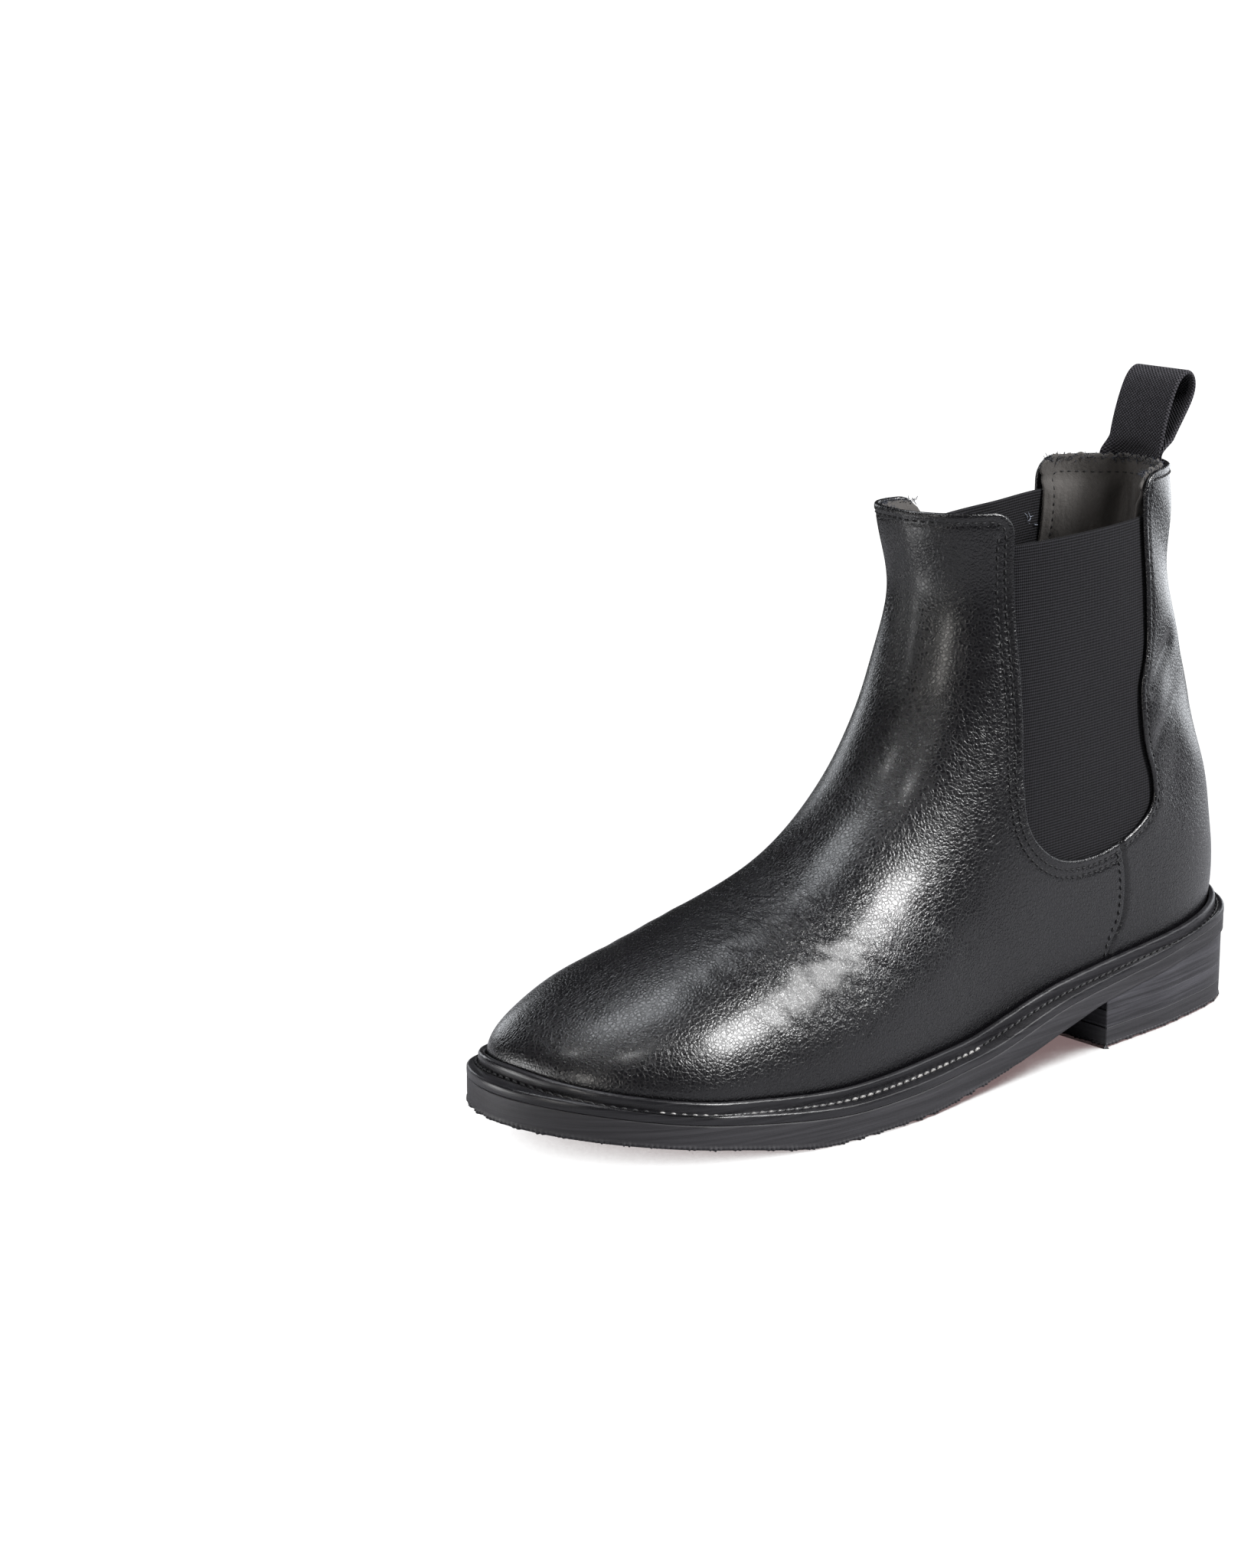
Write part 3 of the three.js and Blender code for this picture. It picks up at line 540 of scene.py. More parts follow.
def thicken(points, normals, faces, thickness, steps=5):
    """Gives an open sheet a thickness inwards, with a rounded edge."""
    count = len(points)
    following, before = {}, {}
    directed = {(a, b) for face in faces for a, b in zip(face, face[1:] + face[:1])}
    for a, b in directed:
        if (b, a) not in directed:
            following[a] = b
            before[b] = a
    vertices = [points, points - normals * thickness]
    result = [list(f) for f in faces] + [[v + count for v in f[::-1]] for f in faces]
    edge = [v for v in following if v in before]
    number = {v: k for k, v in enumerate(edge)}
    tangent = np.array([points[following[v]] - points[before[v]] for v in edge])
    outward = np.cross(tangent, normals[edge])
    outward /= np.maximum(np.linalg.norm(outward, axis=1), 1e-9)[:, None]
    radius = thickness / 2
    core = points[edge] - normals[edge] * radius
    for step in range(1, steps):
        turn = math.pi * step / steps
        vertices.append(core + radius * (math.sin(turn) * outward + math.cos(turn) * normals[edge]))

    def ring_vertex(v, step):
        if step == 0:
            return v
        if step == steps:
            return v + count
        return 2 * count + (step - 1) * len(edge) + number[v]

    for a in edge:
        b = following[a]
        if b not in number:
            continue
        for step in range(steps):
            result.append([ring_vertex(b, step), ring_vertex(a, step),
                           ring_vertex(a, step + 1), ring_vertex(b, step + 1)])
    return np.vstack(vertices), result


def panel(name, grid, inside, thickness, material):
    points, normals, faces = cut_grid(grid, grid_normals(grid), inside)
    vertices, faces = thicken(points, normals, faces, thickness)
    piece = make_object(name, vertices, faces, material)
    flex = piece.data.attributes.new("flex", "FLOAT", "POINT")
    flex.data.foreach_set("value", flex_zone(*vertices.T).astype(np.float32))
    return piece


def contours(grid, field, level, keep, facing=1):
    """Polylines with normals along field = level on the grid, where keep is true. Facing -1 turns the
    normals to the inside of the boot."""
    normal = facing * grid_normals(grid)
    around = field.shape[1]
    value = field - level
    links, place = {}, {}
    turned = np.roll(value, -1, 1)
    cell_corners = [value[:-1], value[1:], turned[:-1], turned[1:]]
    crossed = (np.minimum.reduce(cell_corners) < 0) & (np.maximum.reduce(cell_corners) >= 0)
    cells = np.argwhere(crossed & keep[:-1])
    for r, i in cells:
        j = (i + 1) % around
        corners = [(r, i), (r, j), (r + 1, j), (r + 1, i)]
        found = []
        for a, b in zip(corners, corners[1:] + corners[:1]):
            if (value[a] < 0) != (value[b] < 0):
                key = tuple(sorted((a, b)))
                share = value[a] / (value[a] - value[b])
                place[key] = (grid[a] + (grid[b] - grid[a]) * share, normal[a])
                found.append(key)
        for one, two in zip(found[::2], found[1::2]):
            links.setdefault(one, []).append(two)
            links.setdefault(two, []).append(one)
    lines = []
    unused = set(links)
    while unused:
        ends = [k for k in unused if len(links[k]) == 1]
        here = min(ends) if ends else min(unused)
        walk = [here]
        unused.discard(here)
        while True:
            onward = [k for k in links[here] if k in unused]
            if not onward:
                break
            here = onward[0]
            unused.discard(here)
            walk.append(here)
        if len(walk) > 3:
            lines.append((np.array([place[k][0] for k in walk]), np.array([place[k][1] for k in walk])))
    return lines


def stitches(name, lines, spacing, length, radius, lift, material, whole=False):
    """A row of short threads along each line, each dipping into the material at both ends. With whole,
    each line is one thread."""
    sides, rings = 6, 7
    turn = np.linspace(0, 2 * np.pi, sides, endpoint=False)
    vertices, faces = [], []
    for points, normals in lines:
        steps = np.linalg.norm(np.diff(points, axis=0), axis=1)
        total = steps.sum()
        count = 1 if whole else int(total / spacing)
        if count < 1:
            continue
        reach = total if whole else length
        at = np.concatenate([[0], np.cumsum(steps)])
        middle = (np.arange(count) + 0.5) * total / count
        for m in middle:
            share = np.linspace(-0.5, 0.5, rings)
            where = np.clip(m + share * reach, 0, total)
            core = np.stack([np.interp(where, at, c) for c in points.T], axis=1)
            up = np.array([np.interp(m, at, c) for c in normals.T])
            up /= np.linalg.norm(up)
            along = core[-1] - core[0]
            size = np.linalg.norm(along)
            if size < 0.2:
                continue
            along /= size
            across = np.cross(along, up)
            arch = 1 - (2 * share) ** 2
            base = len(vertices)
            for ring in range(rings):
                r = radius * (0.35 + 0.65 * math.sqrt(max(arch[ring], 0)))
                centre = core[ring] + up * (lift - radius + radius * 1.2 * arch[ring])
                for angle in turn:
                    vertices.append(centre + r * (math.cos(angle) * across + math.sin(angle) * up))
            for ring in range(rings - 1):
                for s in range(sides):
                    t = (s + 1) % sides
                    a, b = base + ring * sides, base + (ring + 1) * sides
                    faces.append([a + s, a + t, b + t, b + s])
            faces.append([base + s for s in range(sides)][::-1])
            faces.append([base + (rings - 1) * sides + s for s in range(sides)])
    return make_object(name, vertices, faces, material)


def ring_faces(ring_count, count, closed=False):
    """Quads between each ring of points and the next; closed also joins the last ring to the first."""
    faces = []
    for r in range(ring_count if closed else ring_count - 1):
        low, high = r * count, (r + 1) % ring_count * count
        for i in range(count):
            j = (i + 1) % count
            faces.append([low + i, high + i, high + j, low + j])
    return faces


def loft(rings, bottom_cap=True, top_cap=True):
    """Joins closed rings of equal count. A cap runs straight across between points i and count - i."""
    count = len(rings[0])
    vertices = np.vstack(rings)
    faces = ring_faces(len(rings), count)
    for wanted, start, flip in ((bottom_cap, 0, False), (top_cap, (len(rings) - 1) * count, True)):
        if not wanted:
            continue
        for i in range(count // 2):
            face = [start + i, start + i + 1, start + count - i - 1, start + (count - i) % count]
            face = list(dict.fromkeys(face))
            if len(face) > 2:
                faces.append(face[::-1] if flip else face)
    return vertices, faces


# ---------- materials ----------

def add_node(tree, kind, inputs=None, **settings):
    """Adds one shader node; an input is either a socket to link from or a value."""
    node = tree.nodes.new(kind)
    for key, value in settings.items():
        setattr(node, key, value)
    for key, value in (inputs or {}).items():
        if isinstance(value, bpy.types.NodeSocket):
            tree.links.new(value, node.inputs[key])
        else:
            node.inputs[key].default_value = value
    return node


class Nodes:
    """A short way to wire a procedural material."""

    def __init__(self, name, base, roughness, **sockets):
        self.material = bpy.data.materials.new(name)
        self.material.use_nodes = True
        self.tree = self.material.node_tree
        self.shader = self.tree.nodes["Principled BSDF"]
        self.shader.inputs["Base Color"].default_value = (*base, 1)
        self.shader.inputs["Roughness"].default_value = roughness
        for socket, value in sockets.items():
            self.shader.inputs[socket.replace("_", " ")].default_value = value
        self.material.diffuse_color = (*base, 1)
        self.coordinates = self.tree.nodes.new("ShaderNodeTexCoord").outputs["Object"]

    def node(self, kind, inputs=None, **settings):
        return add_node(self.tree, kind, inputs, **settings)

    def attribute(self, name):
        return self.node("ShaderNodeAttribute", attribute_name=name).outputs["Vector"]

    def noise(self, scale, detail=4, rough=0.6, vector=None, stretch=None):
        vector = vector or self.coordinates
        if stretch:
            vector = self.node("ShaderNodeMapping", {"Vector": vector, "Scale": stretch}).outputs[0]
        inputs = {"Vector": vector, "Scale": scale, "Detail": detail, "Roughness": rough}
        return self.node("ShaderNodeTexNoise", inputs).outputs["Fac"]

    def cells(self, scale, feature="F1", vector=None):
        inputs = {"Vector": vector or self.coordinates, "Scale": scale}
        return self.node("ShaderNodeTexVoronoi", inputs, feature=feature).outputs["Distance"]

    def math(self, operation, a, b=0.0, c=0.0):
        return self.node("ShaderNodeMath", {0: a, 1: b, 2: c}, operation=operation).outputs[0]

    def spread(self, value, low, high, to_low, to_high):
        inputs = {"Value": value, "From Min": low, "From Max": high, "To Min": to_low, "To Max": to_high}
        return self.node("ShaderNodeMapRange", inputs).outputs[0]

    def mix_colour(self, factor, a, b):
        node = self.node("ShaderNodeMix", data_type="RGBA")
        self.tree.links.new(factor, node.inputs[0])
        node.inputs[6].default_value = (*a, 1)
        node.inputs[7].default_value = (*b, 1)
        return node.outputs[2]

    def colour(self, socket):
        self.tree.links.new(socket, self.shader.inputs["Base Color"])

    def roughness(self, socket):
        self.tree.links.new(socket, self.shader.inputs["Roughness"])

    def bump(self, *layers):
        """Each layer is (height, strength, distance in metres), stacked one on the next."""
        normal = None
        for height, strength, distance in layers:
            inputs = {"Strength": strength, "Distance": distance, "Height": height}
            node = self.node("ShaderNodeBump", inputs)
            if normal:
                self.tree.links.new(normal, node.inputs["Normal"])
            normal = node.outputs["Normal"]
        self.tree.links.new(normal, self.shader.inputs["Normal"])


def leather_material(name, base=(0.0036, 0.0034, 0.0044), gloss=0.155, grain=1.0, shine=1.0):
    """Black calf: domed pebble grain, crinkles where the flex attribute is high, and softly uneven gloss.
    Shine scales the reflection."""
    n = Nodes(name, base, gloss, Specular_IOR_Level=0.55 * shine, Coat_Weight=0.25 * shine,
              Coat_Roughness=0.22)
    wobble = n.node("ShaderNodeTexNoise", {"Vector": n.coordinates, "Scale": 600.0, "Detail": 2.0})
    offset = n.node("ShaderNodeVectorMath", {0: wobble.outputs["Color"], "Scale": 0.0011}, operation="SCALE")
    warped = n.node("ShaderNodeVectorMath", {0: n.coordinates, 1: offset.outputs[0]}).outputs[0]
    pebble = n.cells(820, "DISTANCE_TO_EDGE", vector=warped)
    slope = n.math("SUBTRACT", 1.0, n.math("MINIMUM", n.math("MULTIPLY", pebble, 2.4), 1.0))
    domes = n.math("SUBTRACT", 1.0, n.math("MULTIPLY", slope, slope))
    fine = n.noise(2600, 3, 0.7)
    clumps = n.noise(460, 3, 0.6)
    broad = n.noise(26, 4, 0.55)
    flex = n.node("ShaderNodeAttribute", attribute_name="flex").outputs["Fac"]
    crinkle = n.noise(210, 4, 0.62, stretch=(0.45, 1.0, 1.0))
    ridged = n.math("ABSOLUTE", n.math("SUBTRACT", crinkle, 0.5))
    n.colour(n.mix_colour(broad, tuple(0.7 * c for c in base), tuple(1.5 * c for c in base)))
    even = n.spread(broad, 0.3, 0.7, gloss - 0.03, gloss + 0.07)
    pits = n.math("MULTIPLY", slope, 0.1 * grain)
    n.roughness(n.math("ADD", n.math("ADD", even, pits), n.math("MULTIPLY", clumps, 0.06)))
    n.bump((n.math("MULTIPLY", ridged, flex), 1.0, 0.0026), (domes, 1.0, 0.00007 * grain),
           (clumps, 1.0, 0.00014 * grain), (fine, 1.0, 0.00004 * grain))
    return n.material


def weave_material(name, base, light, along, across, depth, ribs=False):
    """Woven tape or elastic on the weave attribute, whose x and y are millimetres. The colour follows the
    weave's height: the threads' own tone, with the hollows painted darker as shade and the raised threads
    paler.
    """
    n = Nodes(name, base, 0.9, Sheen_Weight=0.02, Sheen_Roughness=0.5, Specular_IOR_Level=0.2)
    weave = n.node("ShaderNodeSeparateXYZ", {0: n.attribute("weave")})
    x, y = weave.outputs["X"], weave.outputs["Y"]
    warp = n.math("SINE", n.math("MULTIPLY", x, 2 * math.pi / along))
    weft = n.math("SINE", n.math("MULTIPLY", y, 2 * math.pi / across))
    if ribs:
        pattern = n.math("ADD", n.math("MULTIPLY", weft, 0.75), n.math("MULTIPLY", warp, 0.3))
    else:
        pattern = n.math("MULTIPLY", warp, weft)
    fibre = n.noise(3200, 2, 0.6)
    height = n.math("ADD", pattern, n.math("MULTIPLY", fibre, 0.25))
    dust = n.noise(700, 4, 0.7)
    # Painted shade and highlight: the colour runs from base in the weave's hollows to light on its raised
    # threads, with random tone from the noise.
    n.colour(n.mix_colour(n.spread(n.math("ADD", height, dust), -0.2, 1.7, 0, 1), base, light))
    n.bump((height, 0.7, depth))
    return n.material


def suede_material():
    n = Nodes("lining_suede", (0.03, 0.027, 0.026), 0.75, Sheen_Weight=0.1, Sheen_Roughness=0.6)
    nap = n.noise(900, 5, 0.7)
    patches = n.noise(75, 5, 0.65, stretch=(1, 1, 0.5))
    n.colour(n.mix_colour(n.math("ADD", n.math("MULTIPLY", patches, 0.7), n.math("MULTIPLY", nap, 0.3)),
                          (0.008, 0.0073, 0.007), (0.105, 0.095, 0.088)))
    n.bump((nap, 0.7, 0.0004), (n.noise(90, 3, stretch=(1, 1, 0.35)), 0.8, 0.0018))
    return n.material


def edge_material(name, base, streak, rough=0.5):
    """Cut and dyed sole edges: fine scratches that run along the edge."""
    n = Nodes(name, base, rough, Specular_IOR_Level=0.45)
    lines = n.noise(260, 4, 0.7, stretch=(0.06, 0.06, 3.0))
    dust = n.noise(900, 3, 0.6)
    n.colour(n.mix_colour(n.spread(lines, 0.4, 0.75, 0, 1), base, streak))
    scuffs = n.math("ADD", lines, n.math("MULTIPLY", dust, 0.3))
    n.roughness(n.spread(scuffs, 0.4, 0.9, rough - 0.12, rough + 0.15))
    n.bump((lines, 0.35, 0.0003), (dust, 0.2, 0.0001))
    return n.material


def plain_material(name, base, rough, grain_scale, contrast, metallic=0.0):
    n = Nodes(name, base, rough, Metallic=metallic)
    grain = n.noise(grain_scale, 5, 0.65)
    dark = tuple(c * (1 - contrast) for c in base)
    pale = tuple(c * (1 + contrast) for c in base)
    n.colour(n.mix_colour(grain, dark, pale))
    n.bump((grain, 0.3, 0.0003))
    return n.material


LEATHER_MATERIAL = leather_material("calf_leather")
STAY_MATERIAL = leather_material("backstay_leather", gloss=0.4, shine=0.5)
ELASTIC = weave_material("ribbed_elastic", (0.0014, 0.0013, 0.0018), (0.024, 0.0235, 0.028), 0.7, 0.9,
                         0.0003, ribs=True)
WEBBING = weave_material("tab_webbing", (0.006, 0.0057, 0.007), (0.085, 0.082, 0.094), 1.3, 1.1, 0.0004)
SUEDE = suede_material()
THREAD = plain_material("black_thread", (0.007, 0.007, 0.0085), 0.6, 4000, 0.5)
WELT = edge_material("welt_leather", (0.009, 0.0087, 0.0105), (0.028, 0.027, 0.031), 0.33)
RUBBER = edge_material("sole_rubber", (0.017, 0.0163, 0.0188), (0.046, 0.0445, 0.05), 0.55)
STACK = edge_material("heel_stack", (0.015, 0.0145, 0.0175), (0.075, 0.073, 0.084), 0.45)
FRAY = plain_material("frayed_fibres", (0.035, 0.038, 0.05), 0.9, 1500, 0.6)
PALE_THREAD = plain_material("loose_thread", (0.3, 0.33, 0.4), 0.7, 3000, 0.3)


def welt_thread_material():
    """Waxed lockstitch, black, with pale patches in its colour as a painted highlight."""
    n = Nodes("waxed_thread_painted_glint", (0.12, 0.118, 0.115), 0.3, Coat_Weight=0.4, Coat_Roughness=0.2)
    glint_patches = n.noise(45, 3, 0.7)
    strands = n.noise(2500, 3, 0.6)
    n.colour(n.mix_colour(n.spread(glint_patches, 0.42, 0.62, 0, 1), (0.05, 0.05, 0.053), (0.42, 0.41, 0.4)))
    n.bump((strands, 0.6, 0.0002))
    return n.material


PAINTED_GLINT_THREAD = welt_thread_material()

# ---------- baking the front pieces -----------------


def bend_with_shaft(piece):
    """Bakes the piece's transform into its mesh."""
    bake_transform(piece)


# ---------- the upper ----------

X, Y, Z = SURFACE[..., 0], SURFACE[..., 1], SURFACE[..., 2]
FRONT_D = signed_distance(SURFACE, FRONT_OUTLINE)
REAR_D = signed_distance(SURFACE, REAR_OUTLINE)
FRONT_EDGE_D = line_distance(Y, Z, FRONT_EDGE)
REAR_EDGE_D = line_distance(Y, Z, REAR_EDGE)
GORE_EDGE_D = line_distance(Y, Z, GORE_LINE)
SEAM_D = line_distance(Y, Z, SEAM_LINE)


def stitch_dent(distance, row):
    return -0.34 * bell(distance, row, 0.65)


def turned_edge(distance, row):
    """A turned and stitched edge: a soft roll at the edge and a dent along the stitch row."""
    return 0.28 * bell(distance, 0.9, 0.9) + stitch_dent(distance, row)


def front_leather():
    relief = turned_edge(FRONT_EDGE_D, FRONT_ROW)
    relief += np.where(Z < SECOND_ROW_TOP_Z + 1, stitch_dent(GORE_EDGE_D, FRONT_SECOND_ROW), 0)
    relief -= 0.25 * bell(SEAM_D, SEAM_ROW, 0.5)
    grid = SURFACE + NORMAL * relief[..., None]
    inside = np.minimum(FRONT_D, np.where(Y > REAR_HALF_Y, SEAM_D, 99)) - 0.2
    piece = panel("front_leather", grid, inside, LEATHER, LEATHER_MATERIAL)
    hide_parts("vamp", "shaft_front")
    bend_with_shaft(piece)
    on_front = FRONT_D > 0
    rows = contours(grid, FRONT_EDGE_D, FRONT_ROW, on_front)
    rows += contours(grid, GORE_EDGE_D, FRONT_SECOND_ROW, on_front & (Z < SECOND_ROW_TOP_Z))
    rows += contours(grid, SEAM_D, SEAM_ROW, on_front & (Y > REAR_HALF_Y) & (Z < SEAM_ROW_TOP_Z))
    thread = stitches("front_stitching", rows, 2.7, 1.9, 0.33, 0.16, THREAD)
    bend_with_shaft(thread)


def quarters():
    relief = turned_edge(REAR_EDGE_D, REAR_ROW)
    grid = SURFACE + NORMAL * relief[..., None]
    under = smoothstep(SEAM_D * np.sign(REAR_D + 1e-6), 2.2, -0.4) * (Z < 66) * (Y < 90)
    grid = grid - NORMAL * (QUARTER_TUCK * under)[..., None]
    reach = np.where((Z < 60) & (Y < 90), SEAM_OVERLAP, 0.0)
    for name, side in (("quarter_lateral", 1), ("quarter_medial", -1)):
        inside = np.minimum(REAR_D + reach, side * X - 0.05) - 0.2
        piece = panel(f"{name}_leather", grid, inside, QUARTER_LEATHER, LEATHER_MATERIAL)
        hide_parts(name)
        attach(piece, "root")
    rows = contours(grid, REAR_EDGE_D, REAR_ROW, REAR_D > 0)
    thread = stitches("quarter_stitching", rows, 2.6, 1.8, 0.32, 0.16, THREAD)
    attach(thread, "root")


def backstay():
    grid = SURFACE + NORMAL * BACKSTAY_LIFT
    side = BACKSTAY_HALF_WIDTH - np.abs(X - BACKSTAY_MIDDLE_X)
    ends = np.minimum(BACKSTAY_TOP_Z - Z, Z - BACKSTAY_END_Z)
    inside = np.where(Y > REAR_HALF_Y, np.minimum(side, ends), -9)
    piece = panel("backstay_strip", grid, inside, QUARTER_LEATHER, STAY_MATERIAL)
    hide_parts("backstay")
    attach(piece, "root")
    keep = (Y > REAR_HALF_Y) & (Z < BACKSTAY_TOP_Z - BACKSTAY_ROW) & (Z > BACKSTAY_END_Z + 2)
    rows = contours(grid, side, BACKSTAY_ROW, keep)
    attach(stitches("backstay_stitching", rows, 2.6, 2.0, 0.24, 0.1, THREAD), "root")


def set_weave(piece, values):
    attribute = piece.data.attributes.new("weave", "FLOAT_VECTOR", "POINT")
    attribute.data.foreach_set("vector", np.asarray(values, np.float32).ravel())


def piece_points(piece):
    flat = np.empty(3 * len(piece.data.vertices))
    piece.data.vertices.foreach_get("co", flat)
    return flat.reshape(-1, 3) * 1000 + MIDDLE


def gores():
    grid = SURFACE - NORMAL * GORE_DEPTH
    top = GORE_TOP_FRONT_Z + (Y - 31) * (GORE_TOP_REAR_Z - GORE_TOP_FRONT_Z) / 55
    top = top + MEDIAL_GORE_RISE * (X < 0)
    gore_outline = np.vstack([GORE_LINE, [[86, 200], [31, 200]]])
    opening = signed_distance(SURFACE, gore_outline)
    for name, side in (("gore_lateral", 1), ("gore_medial", -1)):
        inside = np.minimum(np.minimum(opening + GORE_OVERLAP, side * X - 4), top - Z)
        piece = panel(f"{name}_elastic", grid, inside, ELASTIC_THICKNESS, ELASTIC)
        p = piece_points(piece)
        set_weave(piece, np.column_stack([p[:, 1], p[:, 2] - 0.055 * p[:, 1], p[:, 0]]))
        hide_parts(name)
        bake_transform(piece)


def linings():
    top_edge = np.minimum(FRONT_EDGE_D, REAR_EDGE_D)
    lift = smoothstep(top_edge, 16, 4) * smoothstep(Z, 170.5, 174.5)
    over_tab = (Y > 90) * smoothstep(np.abs(X), 21, 12)
    depth = LINING_DEPTH - COLLAR_THINNING * lift * (1 - over_tab) + TAB_ALLOWANCE * over_tab
    pleats = np.sin(X / 1.5 + 1.4 * np.sin(Z / 11)) * np.sin(X / 4.1 + 0.7) * smoothstep(Y, 80, 98)
    depth = depth + 1.2 * pleats * smoothstep(Z, 176, 168) - 0.2 * bell(top_edge, LINING_ROW, 0.6)
    grid = SURFACE - NORMAL * depth[..., None]
    column = np.arange(AROUND)
    ragged = 0.35 * np.sin(column * 1.9 + np.sin(column * 0.7) * 2) + 0.3 * np.sin(column * 0.83)
    rear_recess = np.where(Z > RAGGED_FROM_Z, -0.6 - ragged, REAR_LINING_RECESS)
    for name, field, recess, nodes in (
        ("front_lining", FRONT_D, FRONT_LINING_RECESS, ("vamp_lining", "shaft_front_lining")),
        ("rear_lining", REAR_D, rear_recess, ("quarter_lining",)),
    ):
        piece = panel(name, grid, field - recess, LINING_THICKNESS, SUEDE)
        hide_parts(*nodes)
        inner = grid - NORMAL * LINING_THICKNESS
        rows = contours(inner, top_edge, LINING_ROW, field > 1, facing=-1)
        thread = stitches(f"{name}_stitching", rows, 2.6, 1.7, 0.2, 0.05, THREAD)
        for part in (piece, thread):
            if name == "front_lining":
                bend_with_shaft(part)
            else:
                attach(part, "root")
    middle = grid - NORMAL * LINING_THICKNESS / 2
    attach(frayed_edge("rear_fray", middle, REAR_COLLAR_Z - 0.2, REAR_D > -1.5, 900), "root")
    bend_with_shaft(frayed_edge("front_fray", middle, FRONT_COLLAR_Z - 0.9, (FRONT_D > 0) & (X < -4), 110))


def loose_strands(starts, count, spread, reach):
    """Short curling fibres that begin near the given (point, normal) pairs."""
    spots, normals = (np.vstack(parts) for parts in zip(*starts))
    strands = []
    for _ in range(count):
        pick = RNG.integers(len(spots))
        start = spots[pick] + RNG.normal(0, spread, 3)
        lean = RNG.normal(0, 1, 3) + np.array([0, 0, 0.5])
        end = start + lean / np.linalg.norm(lean) * RNG.uniform(0.4, 1) * reach
        middle = (start + end) / 2 + RNG.normal(0, 0.1 * reach, 3)
        strands.append((np.array([start, middle, end]), np.tile(normals[pick], (3, 1))))
    return strands


def frayed_edge(name, grid, height, keep, count):
    """Loose fibres standing along the cut top edge of a lining."""
    lines = contours(grid, Z - height, 0, keep)
    strands = loose_strands(lines, count, 0.35, 1.9)
    return stitches(name, strands, 3.0, 2.0, 0.13, 0.0, FRAY, whole=True)


def loose_threads():
    """A few pale thread ends left at the top of the medial elastic."""
    grid = SURFACE - NORMAL * (GORE_DEPTH + 1.6)
    near = (X < 0) & (Y > 80) & (Y < 88) & (np.abs(Z - 163) < 4)
    strands = loose_strands([(grid[near], -NORMAL[near])], 5, 0.6, 4.5)
    threads = stitches("loose_threads", strands, 3.0, 2.0, 0.12, 0.0, PALE_THREAD, whole=True)
    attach(threads, "root")


def back_wall(x, z):
    """How far back the upper's outer face is at one height, at each side distance x."""
    behind = SURFACE[:, SURFACE[-1, :, 1] > 95].transpose(1, 0, 2)
    level = np.array([[np.interp(z, column[:, 2], column[:, k]) for k in (0, 1)] for column in behind])
    level = level[np.argsort(level[:, 0])]
    return np.interp(x, level[:, 0], level[:, 1])


def tab_path():
    """The webbing's middle line in side view, up the front, round the loop and down the back."""
    front_y, rear_y = TAB_ROOT_Y - 0.45, TAB_ROOT_Y + 0.4
    loop = [(-0.1, 189), (2.6, 199), (6.2, 206.5), (10.5, 209), (13.6, 206), (12.6, 200), (5.5, 189)]
    up = [(front_y - 0.4, TAB_END_Z), (front_y - 0.3, 172), (front_y, REAR_COLLAR_Z)]
    down = [(rear_y + 0.4, REAR_COLLAR_Z), (rear_y - 0.3, 172), (rear_y - 0.4, TAB_END_Z)]
    return smooth_curve(up + [(TAB_ROOT_Y + back, z) for back, z in loop] + down, 150)


def tab_section():
    """The webbing's cross-section, (side, thickness), with rounded edges."""
    half, width = TAB_THICKNESS / 2, TAB_WIDTH / 2
    turn = np.linspace(0, math.pi / 2, 4)
    corner = [(width - half * (1 - math.sin(a)), half * math.cos(a)) for a in turn]
    flat_face = [(x, half) for x in np.linspace(-width, width, 22)[1:-1]]
    top = [(-x, y) for x, y in corner[::-1]] + flat_face + corner
    return top + [(x, -y) for x, y in top[-2:0:-1]]


def pull_tab():
    """One length of webbing. Its two ends are thinned, curved and sewn between leather and lining."""
    path, section = tab_path(), tab_section()
    along = np.gradient(path, axis=0)
    along /= np.linalg.norm(along, axis=1)[:, None]
    length = np.concatenate([[0], np.cumsum(np.linalg.norm(np.diff(path, axis=0), axis=1))])
    sides = np.array([x for x, _ in section]) + TAB_MIDDLE_X
    vertices, weave = [], []
    for (y, z), (along_y, along_z), s in zip(path, along, length):
        full = 0.5 + 0.5 * smoothstep(z, 181, 187)
        lean = TAB_SIDE_LEAN * (z - TAB_FOLD_Z)
        tucked = smoothstep(z, 188, 182)
        depth = TAB_FRONT_DEPTH if s < length[-1] / 2 else TAB_REAR_DEPTH
        centre = np.full(len(sides), y)
        if tucked > 0:
            centre += tucked * (back_wall(sides + lean, z) - depth - y)
        for (x, thick), middle_y in zip(section, centre):
            out = thick * full
            vertices.append((x + TAB_MIDDLE_X + lean, middle_y - along_z * out, z + along_y * out))
            weave.append((x, s, thick))
    count = len(section)
    faces = [face[::-1] for face in ring_faces(len(path), count)]
    faces.append(list(range(count))[::-1])
    faces.append([(len(path) - 1) * count + i for i in range(count)])
    piece = make_object("pull_tab_webbing", vertices, faces, WEBBING)
    set_weave(piece, weave)
    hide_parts("pull_tab", "pull_tab_ends")
    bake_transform(piece)


# ---------- the sole unit ----------

def wall_at(height):
    """The upper's outer face a given height above the welt, for each column."""
    z = weltTop(SOLE_RING[:, 1]) + height
    low = SURFACE[:24]
    wall = np.empty((AROUND, 3))
    for i in range(AROUND):
        for k in range(2):
            wall[i, k] = np.interp(z[i], low[:, i, 2], low[:, i, k])
    wall[:, 2] = z
    return wall


